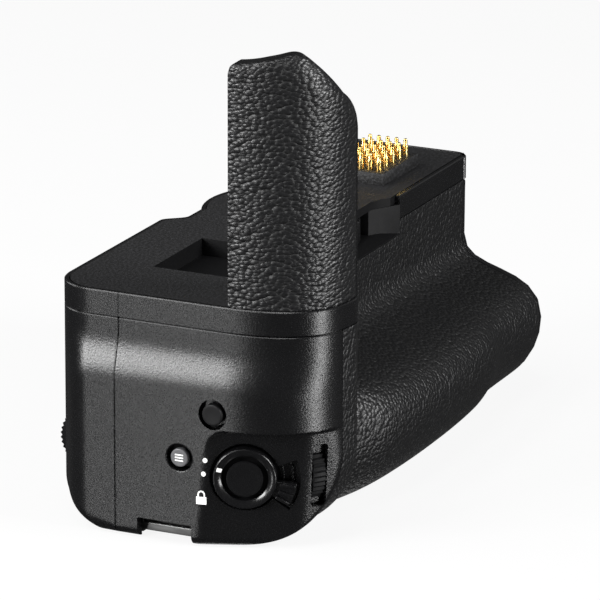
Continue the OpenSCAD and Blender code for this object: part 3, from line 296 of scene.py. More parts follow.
knob_black = small_finish("moulded_knob_black", "#0a0a0b", "#101011", 0.4, 0.22)
deep_black = small_finish("moulded_inner_black", "#0a0a0b", "#101011", 0.6, 0.55, ior=1.22)
key_black = small_finish("moulded_key_black", "#0a0a0b", "#101011", 0.4, 0.45, ior=1.28)
button_gray = small_finish("moulded_button_gray", "#4c4c4e", "#565658", 0.5, 0.42)
white_ink = small_finish("printed_white_ink", "#eeeeec", "#f6f6f4", 0.4, 0.55)
gold_plate = small_finish("gold_plated_brass", "#e6b95c", "#f6dc98", 1.5, 0.26, 1.0, 0.01)
satin_steel = small_finish("brushed_steel_satin", "#a9a9a7", "#c4c4c1", 0.3, 0.36, 1.0, 0.01, (1, 0.1, 1))
black_steel = small_finish("blackened_steel", "#2b2b2c", "#38383a", 0.5, 0.38, 1.0, 0.01)
lug_steel = small_finish("zinc_plated_steel_dull", "#5a5a5a", "#6e6e6d", 0.6, 0.42, 1.0, 0.01, (1, 0.1, 1))
pack_case = small_finish("moulded_pack_gray", "#343436", "#3d3d3f", 0.7, 0.5)
board_green = small_finish("lacquered_board", "#1f4a2d", "#275a37", 3.0, 0.35)
print(len(bpy.data.materials), "finishes")

# %% [markdown]
# A piece starts as a bmesh in millimetres. The last step is the same for all of them: scale to
# metres, set the shading smooth and mark the real corners sharp, give it its finish, hang it on the
# body that carries it and hide the solid that it stands for, if there is one.


# %% Finishing a piece
def sharpen(bm, angle=32):
    """Smooth shading, with sharp edges where two faces meet at more than the angle."""
    limit = math.radians(angle)
    for f in bm.faces:
        f.smooth = True
    for e in bm.edges:
        e.smooth = len(e.link_faces) != 2 or e.calc_face_angle(0.0) < limit


def settle(name, bm, body, slot, material, *nodes, angle=32):
    """Turns a bmesh in millimetres into a piece that rides on a body."""
    bmesh.ops.scale(bm, vec=(MM, MM, MM), verts=bm.verts)
    sharpen(bm, angle)
    mesh = bpy.data.meshes.new(name)
    bm.to_mesh(mesh)
    bm.free()
    piece = bpy.data.objects.new(name, mesh)
    bpy.context.scene.collection.objects.link(piece)
    mesh.materials.append(material)
    if nodes:
        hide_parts(*nodes)
    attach(piece, body)
    return piece


def carve(bm, tools, operation="DIFFERENCE"):
    """The bmesh after a boolean with each tool, which are bmeshes in millimetres."""
    def as_object(name, source):
        mesh = bpy.data.meshes.new(name)
        source.to_mesh(mesh)
        source.free()
        thing = bpy.data.objects.new(name, mesh)
        bpy.context.scene.collection.objects.link(thing)
        return thing
    target = as_object("carve_target", bm)
    cutters = [as_object("carve_tool", t) for t in tools]
    for cutter in cutters:
        step = target.modifiers.new("carve", "BOOLEAN")
        step.object, step.operation, step.solver = cutter, operation, "EXACT"
    shown = target.evaluated_get(bpy.context.evaluated_depsgraph_get())
    result = bmesh.new()
    result.from_mesh(shown.to_mesh())
    shown.to_mesh_clear()
    for thing in [target] + cutters:
        mesh = thing.data
        bpy.data.objects.remove(thing)
        bpy.data.meshes.remove(mesh)
    return result


def round_edges(bm, offset, segments=2, angle=35, keep=None, clamp=True):
    """Bevels every edge that is sharper than the angle, or those of them that keep allows."""
    limit = math.radians(angle)
    edges = [e for e in bm.edges if len(e.link_faces) == 2 and e.calc_face_angle(0.0) > limit
             and (keep is None or keep(e))]
    bmesh.ops.bevel(bm, geom=edges, offset=offset, offset_type="OFFSET", segments=segments, profile=0.5,
                    affect="EDGES", clamp_overlap=clamp, material=-1)


def patch(columns, rows, place, outward):
    """A grid moved onto a surface: place(u, v) in millimetres, facing the way of outward."""
    bm = bmesh.new()
    bmesh.ops.create_grid(bm, x_segments=columns, y_segments=rows, size=1)
    for v in bm.verts:
        v.co = place((v.co.x + 1) / 2, (v.co.y + 1) / 2)
    bm.normal_update()
    total = sum((f.normal * f.calc_area() for f in bm.faces), Vector())
    if total.dot(Vector(outward)) < 0:
        bmesh.ops.reverse_faces(bm, faces=bm.faces)
    return bm


def block(low, high, rounding=0.0, segments=3):
    """A box between two corners, with rounded edges."""
    bm = bmesh.new()
    size = [b - a for a, b in zip(low, high)]
    bmesh.ops.create_cube(bm, size=1)
    bmesh.ops.scale(bm, vec=size, verts=bm.verts)
    bmesh.ops.translate(bm, vec=[(a + b) / 2 for a, b in zip(low, high)], verts=bm.verts)
    if rounding:
        bmesh.ops.bevel(bm, geom=bm.edges[:], offset=rounding, offset_type="OFFSET", segments=segments,
                        profile=0.5, affect="EDGES", clamp_overlap=True, material=-1)
    return bm


def lathe(profile, steps=64):
    """A solid of revolution about Z from (radius, height) points, open ends on the axis."""
    bm = bmesh.new()
    ring = [bm.verts.new((r, 0, z)) for r, z in profile]
    edges = [bm.edges.new(pair) for pair in zip(ring, ring[1:])]
    bmesh.ops.spin(bm, geom=ring + edges, cent=(0, 0, 0), axis=(0, 0, 1), angle=math.tau, steps=steps,
                   use_merge=True)
    bmesh.ops.remove_doubles(bm, verts=bm.verts, dist=1e-4)
    bmesh.ops.recalc_face_normals(bm, faces=bm.faces)
    return bm


def soften_copy(node_name, offset, segments=2, angle=40):
    """A merged copy of a solid in millimetres with its corners rounded."""
    bm = bmesh.new()
    bm.from_mesh(frame["nodes"][node_name].data)
    bmesh.ops.scale(bm, vec=(1 / MM, 1 / MM, 1 / MM), verts=bm.verts)
    bmesh.ops.remove_doubles(bm, verts=bm.verts, dist=2e-3)
    bmesh.ops.dissolve_limit(bm, angle_limit=math.radians(0.8), verts=bm.verts, edges=bm.edges)
    if offset:
        round_edges(bm, offset, segments, angle)
    return bm


def placed(bm, matrix):
    bmesh.ops.transform(bm, matrix=matrix, verts=bm.verts)
    return bm


def joined(parts):
    """Several bmeshes as one."""
    whole = bmesh.new()
    for part in parts:
        mesh = bpy.data.meshes.new("part")
        part.to_mesh(mesh)
        part.free()
        whole.from_mesh(mesh)
        bpy.data.meshes.remove(mesh)
    return whole


print("helpers ready")

# %% [markdown]
# The end face is one moulding that runs from the parting line round the front corner. It stands
# straight under the rim, steps out in a soft shelf and turns under at the foot. A grid is laid on
# that surface, given its thickness inwards, and its border gets a narrow chamfer, so that the
# grooves catch the light.

# %% The surface of the hard covers
facet_turn, facet_tilt = 22.0, 2.0
facet_p = Vector((near_len + shelf_out, 18.4, -45.0))
facet_n = turned(turned((1, 0, 0), "Y", facet_tilt), "Z", facet_turn)
ceiling, ceiling_soft, crease_soft = 30.0, 1.1, 0.5
facet_corner_y, facet_corner_r = 18.6, 6.5
dial_facet_turn, dial_facet_tilt, dial_facet_in, dial_facet_soft = 50.0, 4.0, 1.8, 1.1
dial_level = turned((1, 0, 0), "Z", dial_facet_turn)
dial_facet_n = turned(turned((1, 0, 0), "Y", dial_facet_tilt), "Z", dial_facet_turn)
dial_facet_p = corner_at(corner_angle(dial_facet_turn)).to_3d() - dial_facet_in * dial_level + Vector((0, 0, -42))
upright_share = 0.76


def end_step(t):
    """Plan of the end cover: place, outward, edge of the underside, rounding, shelf and softness."""
    foot_x = near_len + shelf_out - end_round
    if t <= 1:
        y = mix(seam_y + seam_gap, corner_cy, t)
        return (near_len, y), (1, 0), (foot_x, y), end_round, 1.0, 1.0
    k = t - 1
    return (corner_at(hand_over * k), corner_out(hand_over * k),
            (mix(foot_x, cover_x, k), mix(corner_cy, near_front - front_round, k)),
            mix(end_round, front_round, k * k), 1 - ease(k), 1.0)


def cover_point(step, v, spread):
    """A point of a hard cover: v runs down the upright wall and then under the foot."""
    place, out, under, rise, shelf, soft = step
    if v < upright_share:
        depth, a = knots(spread(body_h - rise), v / upright_share), 0.0
    else:
        a = math.radians(90 * (v - upright_share) / (1 - upright_share))
        depth = body_h - rise * (1 - math.sin(a) ** soft)
    reach = shelf * shelf_out * ease((depth - 10) / 12)
    k = 1 - max(0.0, math.cos(a)) ** soft
    return Vector((mix(place[0] + out[0] * reach, under[0], k), mix(place[1] + out[1] * reach, under[1], k), -depth))


def on_facet(p):
    """Sinks a point of the end face onto the slanted control facet and the dial's facet beside it."""
    depth = -p.z
    fall = max(0.0, depth - body_h + end_round)
    edge = end_round - math.sqrt(max(0.0, end_round ** 2 - fall * fall))
    sink = soft_positive((p - facet_p).dot(facet_n) + edge, crease_soft)
    inside = depth - ceiling
    over, up = facet_corner_y + facet_corner_r - p.y, ceiling + facet_corner_r - depth
    if over > 0 and up > 0:
        inside = facet_corner_r - math.hypot(over, up)
    level = Vector((facet_n.x, facet_n.y, 0))
    p = p - level * (ease(inside / ceiling_soft) * sink / level.dot(facet_n))
    sink = soft_positive((p - dial_facet_p).dot(dial_facet_n), dial_facet_soft)
    return p - dial_level * (ease((depth - ceiling) / ceiling_soft) * sink / dial_level.dot(dial_facet_n))


def end_face(u, v):
    t = mix(0, 1, u / 0.45) if u < 0.45 else mix(1, 2, (u - 0.45) / 0.55)
    spread = lambda low: [(0, -z_seam), (0.44, 29.0), (0.56, 32.0), (1, low)]
    return on_facet(cover_point(end_step(t), v, spread))


print("facet faces", [round(c, 4) for c in facet_n])

# %% [markdown]
# The holes for the controls are cut with tools that are shaped like countersinks: the shaft has the
# size of the hole and the mouth flares in a quarter round. So each rim gets a small rounded edge.

# %% Places of the controls
shutter_at = facet_p + turned((0, 10.3, 0), "Z", facet_turn) + 2.7 * turned(
    turned((0, 0, 1), "Y", facet_tilt), "Z", facet_turn)
to_shutter = (Matrix.Translation(shutter_at) @ Matrix.Rotation(math.radians(facet_turn), 4, "Z")
              @ Matrix.Rotation(math.radians(90 + facet_tilt), 4, "Y") @ Matrix.Rotation(math.radians(90), 4, "Z"))
end_turn = Matrix.Rotation(math.radians(90), 4, "Y") @ Matrix.Rotation(math.radians(90), 4, "Z")
to_function = Matrix.Translation((near_len + shelf_out, 21.2, -26.4)) @ end_turn
to_menu = Matrix.Translation((near_len + shelf_out, 12.2, -38.5)) @ end_turn
to_focus = Matrix.Translation((56, -near_back, -24)) @ Matrix.Rotation(math.radians(90), 4, "X")
front_dial_turn, front_dial_r, front_dial_t = 55.0, 8.5, 3.2
dial_at = (corner_at(corner_angle(front_dial_turn)).to_3d()
           + (-1.0 - front_dial_r) * turned((1, 0, 0), "Z", front_dial_turn) + Vector((0, 0, -42)))
to_front_dial = (Matrix.Translation(dial_at) @ Matrix.Rotation(math.radians(front_dial_turn), 4, "Z")
                 @ Matrix.Rotation(math.radians(90), 4, "X"))
rear_dial_at = Vector((71.5, -18.1, -41.5))
print("shutter at", [round(c, 2) for c in shutter_at])


def hole_tool(radius, flare=0.3, deep=14.0, high=6.0):
    """A drill along Z with a mouth that flares in a quarter round at height 0."""
    arc = [(radius + flare * (1 - math.cos(a)), flare * (math.sin(a) - 1))
           for a in [math.radians(x) for x in (0, 22.5, 45, 67.5, 90)]]
    return lathe([(0, -deep), (radius, -deep)] + arc + [(radius + flare, high), (0, high)], 72)


def sector_tool(r0, r1, z0, z1, from_deg, to_deg, rounding):
    """A thick sector about Z, for the pocket that a lever swings in."""
    bm = bmesh.new()
    a = math.radians(from_deg)
    corners = [bm.verts.new((r * math.cos(a), r * math.sin(a), z)) for r, z in ((r0, z0), (r1, z0), (r1, z1), (r0, z1))]
    bmesh.ops.spin(bm, geom=[bm.faces.new(corners)], cent=(0, 0, 0), axis=(0, 0, 1),
                   angle=math.radians(to_deg - from_deg), steps=24)
    bmesh.ops.recalc_face_normals(bm, faces=bm.faces)
    round_edges(bm, rounding, 3, 50)
    return bm


def chamfer_top(bm):
    """The narrow flat under the groove of the rim."""
    round_edges(bm, 0.26, 1, 50, lambda e: min(v.co.z for v in e.verts) > z_seam - 0.01, False)


# %% The end cover
strap_y, strap_w, strap_deep, strap_tall = seam_y + 6, 14.5, 10.0, 5.2
end_sheet = patch(170, 150, end_face, (1, 0, 0))
bmesh.ops.solidify(end_sheet, geom=end_sheet.faces[:], thickness=wall)
chamfer_top(end_sheet)
round_edges(end_sheet, 0.3, 3, 50)
notch = block((near_len + shelf_out - strap_deep, strap_y, z_bot - 1),
              (near_len + shelf_out + 2, strap_y + strap_w, z_bot + strap_tall), 0.45)
slot_half = front_dial_r - 0.5
dial_slot = placed(block((2, -slot_half, -front_dial_t / 2 - 0.4), (22, slot_half, front_dial_t / 2 + 0.4), 0.8),
                   to_front_dial)
pocket = placed(sector_tool(5, 13.4, -1.9, 6, -38, 21, 0.5), to_shutter)
end_sheet = carve(end_sheet, [placed(hole_tool(8.4, 0.35), to_shutter), pocket, placed(hole_tool(3.5), to_function),
                              placed(hole_tool(3.4), to_menu), dial_slot, notch])
end_cover = settle("end_cover_shell", end_sheet, "grip", "cover_plastic", satin_abs, "end_cover", angle=28)
print("end cover faces", len(end_cover.data.polygons))

# %% [markdown]
# The rear cover starts at the parting line, turns the rear corner and runs along the back to the
# battery end. Over the screw wheel the wall swells into a round housing.

# %% The rear cover
rear_cx, rear_cy, rear_lead = near_len - corner_rear, corner_rear - near_back, 5.0
step_x, step_half = 20.0, 3.0
housing_half = math.sqrt(housing_r ** 2 - far_back ** 2)


def near_share(x):
    return ease((x - step_x + step_half) / (2 * step_half))


def back_y(x):
    return -mix(far_back, near_back, near_share(x))


def rear_step(t):
    """Plan of the rear cover: 0 at the parting line, 1 and 2 at the corner, 3 at the battery end."""
    foot_x = near_len + shelf_out - end_round
    if t <= 1:
        y = mix(seam_y - seam_gap, rear_cy, t)
        return (near_len, y), (1, 0), (foot_x, y + rear_lead * t), mix(end_round, rear_lead, t), 1.0, 1.0
    if t <= 2:
        k = t - 1
        c = math.cos(math.radians(90 * k)), -math.sin(math.radians(90 * k))
        return ((rear_cx + corner_rear * c[0], rear_cy + corner_rear * c[1]), c,
                (mix(foot_x, rear_cx, k), mix(rear_cy + rear_lead, rear_round - near_back, k)),
                mix(rear_lead, rear_rise, k), 1 - ease(1.8 * k), mix(1, 1.2, k))
    x = mix(rear_cx, shell_x + seam_gap, t - 2)
    share = mix(0.7, 1, near_share(x))
    return (x, back_y(x)), (0, -1), (x, back_y(x) + rear_round * share), rear_rise * share, 0.0, 1.2


def rear_face(u, v):
    t = u / 0.05 if u < 0.05 else 1 + (u - 0.05) / 0.15 if u < 0.2 else 2 + (u - 0.2) / 0.8
    p = cover_point(rear_step(t), v, lambda low: [(0, -z_seam), (1, low)])
    swell = math.sqrt(housing_r ** 2 - p.x ** 2) - far_back if abs(p.x) < housing_half else 0.0
    p.y -= swell * (1 - ease((-p.z - 10.6) / 8))
    return p


rear_sheet = patch(260, 84, rear_face, (0, -1, 0))
bmesh.ops.solidify(rear_sheet, geom=rear_sheet.faces[:], thickness=wall)
chamfer_top(rear_sheet)
round_edges(rear_sheet, 0.3, 3, 50)
rear_slot = block((68.6, -34, rear_dial_at.z - 6.6), (74.4, -20, rear_dial_at.z + 6.6), 0.5)
rear_sheet = carve(rear_sheet, [rear_slot, placed(hole_tool(3.6), to_focus)])
rear_cover = settle("rear_cover_shell", rear_sheet, "grip", "cover_plastic", satin_abs, "rear_cover", angle=28)
print("rear cover faces", len(rear_cover.data.polygons))

# %% [markdown]
# The rubber of the hand grip is one skin that flows from the end cover over the finger hollow and
# the hump to the battery end. Its section goes down a short neck, out to the widest line and under.

# %% The rubber of the hand grip
hump_front, bulge_front, bulge_depth, neck_depth, under_front = 47.5, 43.6, 41.0, 20.0, 30.5
finger_x, under_y, far_x, neck_share = corner_cx - 4, near_front - front_round, -far_len, 0.15
shared = [(cover_x, cover_y), (corner_cx + 3, near_front - 0.15), (corner_cx - 1.5, near_front)]
neck_line = shared + [(finger_x, near_front - 2), (finger_x - 2.5, near_front - 9), (finger_x - 8, near_front - 18.5),
                      (finger_x - 17, plate_front + 3), (finger_x - 30, plate_front + 0.4), (10, plate_front),
                      (far_x, plate_front - 0.3)]
bulge_line = shared + [(finger_x, near_front - 2.2), (finger_x - 3, near_front - 6.5), (finger_x - 7, near_front - 8.5),
                       (finger_x - 14, near_front - 5.5), (finger_x - 22, hump_front - 1.6), (25, hump_front - 0.2),
                       (0, hump_front), (-25, hump_front - 1.2), (-38, bulge_front + 0.4),
                       (far_x + 5, bulge_front - 0.4), (far_x, bulge_front - 1)]
under_line = [(cover_x, under_y), (corner_cx, under_y), (finger_x, under_y + 0.3), (finger_x - 7, under_front - 3.5),
              (finger_x - 14, under_front - 2.5), (25, under_front - 0.3), (0, under_front), (-25, under_front - 2),
              (-38, under_front - 5.5), (far_x, under_front - 6.5)]
flare_line = [(cover_x, band_h + 4), (finger_x, band_h + 5), (finger_x - 14, neck_depth - 4), (0, neck_depth - 1),
              (far_x, neck_depth + 1)]
wide_line = [(cover_x, body_h - front_round), (corner_cx - 2, body_h - front_round), (finger_x - 8, bulge_depth - 0.5),
             (finger_x - 20, bulge_depth), (0, bulge_depth), (far_x, bulge_depth)]
scoop_corner = 2.2


def rubber_top(x):
    """Depth of the upper edge, with a rounded corner at each end of the finger scoop."""
    gap = scoop_w - abs(x)
    if gap < 0:
        return -z_seam
    if gap > scoop_corner:
        return scoop_h
    return scoop_h - scoop_corner + math.sqrt(max(0.0, scoop_corner ** 2 - (scoop_corner - gap) ** 2))


def grip_point(x, v):
    yn, yb, yu = curve(neck_line, x), curve(bulge_line, x), curve(under_line, x)
    zt, zn, zb = -rubber_top(x), -curve(flare_line, x), -curve(wide_line, x)
    if v <= neck_share:
        return Vector((x, yn, mix(zt, zn, v / neck_share)))
    if v <= 1:
        t = (v - neck_share) / (1 - neck_share)
        s = 1 - t
        hn, hb = (zn - zb) * 0.56, (zn - zb) * 0.71
        return Vector((x, yn * (s ** 3 + 3 * s * s * t) + yb * (3 * s * t * t + t ** 3),
                       zn * s ** 3 + (zn - hn) * 3 * s * s * t + (zb + hb) * 3 * s * t * t + zb * t ** 3))
    a = math.radians(90 * (v - 1))
    return Vector((x, yb + (yu - yb) * (1 - math.cos(a)), zb + (z_bot - zb) * math.sin(a)))


def grip_face(u, v):
    x = knots([(0, cover_x - seam_gap), (0.33, 30.0), (0.40, scoop_w + 0.01), (0.403, scoop_w - 0.01),
               (0.43, scoop_w - 3), (0.60, 3 - scoop_w), (0.627, 0.01 - scoop_w), (0.63, -0.01 - scoop_w),
               (1, shell_x + seam_gap)], u)
    return grip_point(x, 2 * v)


rubber = patch(240, 110, grip_face, (0, 1, 0))
bmesh.ops.solidify(rubber, geom=rubber.faces[:], thickness=1.2)
round_edges(rubber, 0.16, 2, 60)
grip_rubber = settle("grip_rubber_skin", rubber, "grip", "rubber", grip_skin, "grip_rubber")
print("rubber faces", len(grip_rubber.data.polygons))

# %% [markdown]
# The rim is a satin band that goes all the way round under the plate. The plate lies inside it with
# a hairline between them. Both follow one outline, which is walked at even steps: a circle of
# points is made and each point is moved to its place on the outline, so that the operators can
# extrude, inset and bevel it from there.


# %% The outline of the plate
def raw_outline():
    points = [Vector(end_step(2 * i / 90)[0]) for i in range(91)]
    far_start = corner_far - far_len
    points += [Vector((x, curve(neck_line, x))) for x in [mix(cover_x - 0.2, far_start, i / 160) for i in range(161)]]
    for cy, start in ((plate_front - corner_far, 90), (corner_far - far_back, 180)):
        for i in range(9):
            a = math.radians(start + 90 * i / 8)
            points.append(Vector((far_start + corner_far * math.cos(a), cy + corner_far * math.sin(a))))
    for i in range(161):
        x = mix(far_start, rear_cx, i / 160)
        round_y = -math.sqrt(housing_r ** 2 - x * x) if abs(x) < housing_r else 0.0
        points.append(Vector((x, min(back_y(x), round_y))))
    points += [Vector(rear_step(2 - i / 40)[0]) for i in range(41)]
    points += [Vector(rear_step(1 - i / 6)[0]) for i in range(7)]
    return points


def even_outline(count):
    points = raw_outline()
    points.append(points[0])
    lengths = [0.0]
    for a, b in zip(points, points[1:]):
        lengths.append(lengths[-1] + (b - a).length)
    result, i = [], 0
    for k in range(count):
        target = lengths[-1] * k / count
        while lengths[i + 1] < target:
            i += 1
        span = lengths[i + 1] - lengths[i]
        result.append(points[i].lerp(points[i + 1], (target - lengths[i]) / span if span else 0))
    return result


OUTLINE = even_outline(720)


def outline_at(k, inset):
    """The k-th point of the outline, moved inwards."""
    n = len(OUTLINE)
    along = OUTLINE[(k + 1) % n] - OUTLINE[k - 1]
    inward = Vector((-along.y, along.x)).normalized()
    return OUTLINE[k] + inward * inset


def outline_ring(inset, z, capped):
    bm = bmesh.new()
    made = bmesh.ops.create_circle(bm, cap_ends=capped, segments=len(OUTLINE), radius=1)
    for k, v in enumerate(made["verts"]):
        p = outline_at(k, inset)
        v.co = (p.x, p.y, z)
    return bm


print("outline points", len(OUTLINE))

# %% The rim band
rim_t = 1.3
band = outline_ring(0, 0, False)
down = bmesh.ops.extrude_edge_only(band, edges=band.edges[:])
bmesh.ops.translate(band, vec=(0, 0, -band_h), verts=[e for e in down["geom"] if isinstance(e, bmesh.types.BMVert)])
bmesh.ops.recalc_face_normals(band, faces=band.faces)
band.normal_update()
if sum((f.normal.dot(f.calc_center_median() - Vector((10, 0, f.calc_center_median().z))) for f in band.faces)) < 0:
    bmesh.ops.reverse_faces(band, faces=band.faces)
bmesh.ops.solidify(band, geom=band.faces[:], thickness=rim_t)
round_edges(band, 0.26, 1, 50, clamp=False)
slit = block((near_len - 0.35, seam_y - 0.09, -band_h - 1), (near_len + 1, seam_y + 0.09, 1))
gap_box = block((-scoop_w, cheek_in, -20), (scoop_w, 60, 5))
band = carve(band, [slit, gap_box])
rim_band = settle("rim_band", band, "grip", "cover_plastic", satin_abs, angle=28)
print("band faces", len(rim_band.data.polygons))

# %% [markdown]
# The plate is one flat moulding with a storage well, screw holes and the bay in front of the screw
# wheel. It is extruded from the outline, the well's tray is added under it, and then everything is
# cut out.

# %% The plate
well_x0, well_x1, well_y0, well_y1, well_depth, well_ramp = 33.0, 60.0, -7.3, 17.0, 4.4, 8.0
plate = outline_ring(rim_t + 0.12, 0, True)
lower = bmesh.ops.extrude_face_region(plate, geom=plate.faces[:])
bmesh.ops.translate(plate, vec=(0, 0, -plate_t), verts=[e for e in lower["geom"] if isinstance(e, bmesh.types.BMVert)])
bmesh.ops.recalc_face_normals(plate, faces=plate.faces)
plate = carve(plate, [block((well_x0 - 1.5, well_y0 - 1.5, -well_depth - 1.4), (well_x1 + 1.5, well_y1 + 1.5, -0.6))],
              "UNION")


def prism(points, low, high):
    """Upright prism over a polygon in plan."""
    bm = bmesh.new()
    face = bm.faces.new([bm.verts.new((x, y, low)) for x, y in points])
    top = bmesh.ops.extrude_face_region(bm, geom=[face])
    bmesh.ops.translate(bm, vec=(0, 0, high - low), verts=[e for e in top["geom"] if isinstance(e, bmesh.types.BMVert)])
    bmesh.ops.recalc_face_normals(bm, faces=bm.faces)
    return bm


bay = prism([(-scoop_w, plate_front + 0.2), (5.3 - scoop_w, scoop_in + 1.1), (8 - scoop_w, scoop_in),
             (scoop_w - 8, scoop_in), (scoop_w - 5.3, scoop_in + 1.1), (scoop_w, plate_front + 0.2),
             (scoop_w, 60), (-scoop_w, 60)], -plate_t - 1, 2)
well = prism([(well_x0, 1), (well_x0, -well_depth), (well_x1 - well_ramp, -well_depth), (well_x1, 0), (well_x1, 1)],
             0, well_y1 - well_y0)
placed(well, Matrix.Translation((0, well_y1, 0)) @ Matrix.Rotation(math.radians(90), 4, "X"))
screw_at = [(60, 24), (27, 14), (-40, -14), (-58, -14), (-20, -12)]
pin_at = [(14, 8), (-57, -8.5)]
holes = [placed(hole_tool(r, 0.15, 8), Matrix.Translation((x, y, 0)))
         for r, spots in ((2.1, screw_at), (1.5, pin_at), (3.575, [(0, 0)])) for x, y in spots]
plate = carve(plate, [bay, well] + holes)
plate_top = settle("camera_plate", plate, "grip", "inner_plastic", coarse_abs, "top_cover", angle=25)
plate_top.data.materials.append(deep_black)
for face in plate_top.data.polygons:
    face.material_index = int(face.center.z < -0.2 * MM)
print("plate faces", len(plate_top.data.polygons))

# %% [markdown]
# The tower stands on the front corner, beside the camera's own hand grip. Its plan follows the corner
# at a small distance. The bend is walked in even steps, so that the grain and the grid stay even.

# %% The tower's plan
tower_y, tower_x, tower_setback, skin_t, tower_t = 23.8, 60.2, 0.7, 1.2, 4.1
tower_from = math.degrees(math.asin(((tower_y - corner_cy) / corner_turn) ** (corner_power / 2)))
turns = [mix(tower_from, 90, i / 120) for i in range(121)]
BEND = [(0.0, tower_from)]
for a, b in zip(turns, turns[1:]):
    BEND.append((BEND[-1][0] + (corner_at(b) - corner_at(a)).length, b))
bend_len = BEND[-1][0]
tower_len = bend_len + corner_cx - tower_x


def tower_plan(s, inset):
    """A point s millimetres from the rear edge, set back from the rim."""
    if s > bend_len:
        return Vector((corner_cx - (s - bend_len), near_front - inset))
    a = knots(BEND, s)
    return corner_at(a) - corner_out(a) * inset


print("length round the tower", round(tower_len, 2))

# %% [markdown]
# The top rises to a peak over the corner and falls away along the front. The leatherette doesn't end
# there in an edge: it rolls inwards over the shell, in a wide curve along the front slope and a narrow
# one at the rear. Each roll is a quarter of an ellipse, roll_in wide and roll_down high.

# %% The tower's top
tower_peak, tower_rear_h, tower_front_h = 64.5, 60.5, 49.5
peak_x, peak_y = corner_at(45.4)
fall = (tower_peak - tower_front_h) / (peak_x - tower_x)
rear_tip_r, front_tip_r, peak_soft = 1.6, 3.0, 2.4
ROLL_IN = [(0, 0.9), (0.25, 1.3), (0.45, 3.0), (0.6, 3.6), (0.9, 3.2), (1, 1.8)]
ROLL_DOWN = [(0, 1.2), (0.25, 2.5), (0.45, 6.5), (0.6, 8.0), (0.9, 7.0), (1, 4.0)]


def tower_top(s):
    x, y = tower_plan(s, tower_setback)
    up = tower_rear_h + (tower_peak - tower_rear_h) * max(0.0, (y - tower_y) / (peak_y - tower_y)) ** 1.5
    along = tower_front_h + fall * (x - tower_x)
    top = up - soft_positive(up - along, peak_soft) - 0.4 - 0.28 * knots(ROLL_IN, s / tower_len)
    for r, d in ((rear_tip_r, s), (front_tip_r, tower_len - s)):
        if d < r:
            top -= r - math.sqrt(max(0.0, r * r - (r - d) ** 2))
    return top


def tower_point(s, inset, drop, turn):
    """A point of the rolled edge, with turn from 0 on the upright wall to 90 on top."""
    a, wide, high = math.radians(turn), knots(ROLL_IN, s / tower_len), knots(ROLL_DOWN, s / tower_len)
    reach = max(0.0, tower_setback + wide - inset)
    x, y = tower_plan(s, inset + reach * (1 - math.cos(a)))
    return Vector((x, y, tower_top(s) - drop - high * (1 - math.sin(a))))


print("peak", round(max(tower_top(tower_len * i / 50) for i in range(51)), 2))

# %% [markdown]
# The skin is a grid that runs along the bend and up over the roll, and gets its thickness inwards.
# The shell behind it is one section that is carried along the bend: outer wall, roll, rim, inner wall
# and foot. A lip at the front end covers the skin's cut edge.

# %% The tower's skin and shell
skin_len, wall_share = tower_len - 0.85, 0.72


def skin_face(u, v):
    s = u * skin_len
    if v > wall_share:
        return tower_point(s, tower_setback, 0, 90 * (v - wall_share) / (1 - wall_share))
    p = tower_point(s, tower_setback, 0, 0)
    p.z = mix(0.05, p.z, v / wall_share)
    return p


def shell_section(s, inset, drop):
    """The section of the shell as a closed loop of points."""
    inner = tower_setback + skin_t + tower_t
    edge = max(inset, tower_setback + knots(ROLL_IN, s / tower_len) + 0.05)
    flats = [tower_plan(s, d).to_3d() + Vector((0, 0, z))
             for d, z in ((edge, tower_top(s) + 0.05), (inner, tower_top(s) + 0.05), (inner, 4), (inner + 3, 4),
                          (inner + 3, 0.05), (inset, 0.05))]
    return [flats[-1]] + [tower_point(s, inset, drop, 9 * i) for i in range(11)] + flats


def shell_face(u, v):
    lip = u > 0.985
    s = tower_len - 0.8 + 0.8 * (u - 0.99) / 0.01 if u > 0.99 else min(u / 0.985, 1) * (tower_len - 0.8)
    loop = shell_section(s, tower_setback if lip else tower_setback + skin_t + 0.03, 0 if lip else 1.3)
    return loop[round(v * (len(loop) - 1))]


skin = patch(150, 200, skin_face, (1, 1, 0))
bmesh.ops.solidify(skin, geom=skin.faces[:], thickness=skin_t)
round_edges(skin, 0.28, 3, 50)
tower_skin = settle("tower_leatherette", skin, "grip", "leatherette", tower_hide, "tower_skin", angle=40)

shell = patch(200, 17, shell_face, (1, 1, 0))
bmesh.ops.remove_doubles(shell, verts=shell.verts, dist=1e-4)
bmesh.ops.holes_fill(shell, edges=[e for e in shell.edges if e.is_boundary], sides=0)
bmesh.ops.recalc_face_normals(shell, faces=shell.faces)
tower_shell = settle("tower_shell_wall", shell, "grip", "cover_plastic", satin_abs, "tower_shell", angle=40)
print("skin faces", len(tower_skin.data.polygons), "shell faces", len(tower_shell.data.polygons))

# %% [markdown]
# Many pieces have the right shape already and need only softer corners and a finish. For each, the
# solid is copied, its triangles are merged into flat faces and its corners are bevelled. The body
# comes from the imported record.

# %% Pieces with softened corners
record = frame["record"]
body_of = {n: b for b, names in record["behaviour"]["bodies"].items() for n in names}
slot_of = {row["node"]: row["material_slot"] for row in record["subparts"]}


def dress(node_name, material, offset, segments=2, angle=40):
    piece = settle(node_name + "_piece", soften_copy(node_name, offset, segments, angle), body_of[node_name],
                   slot_of[node_name], material, node_name)
    return piece


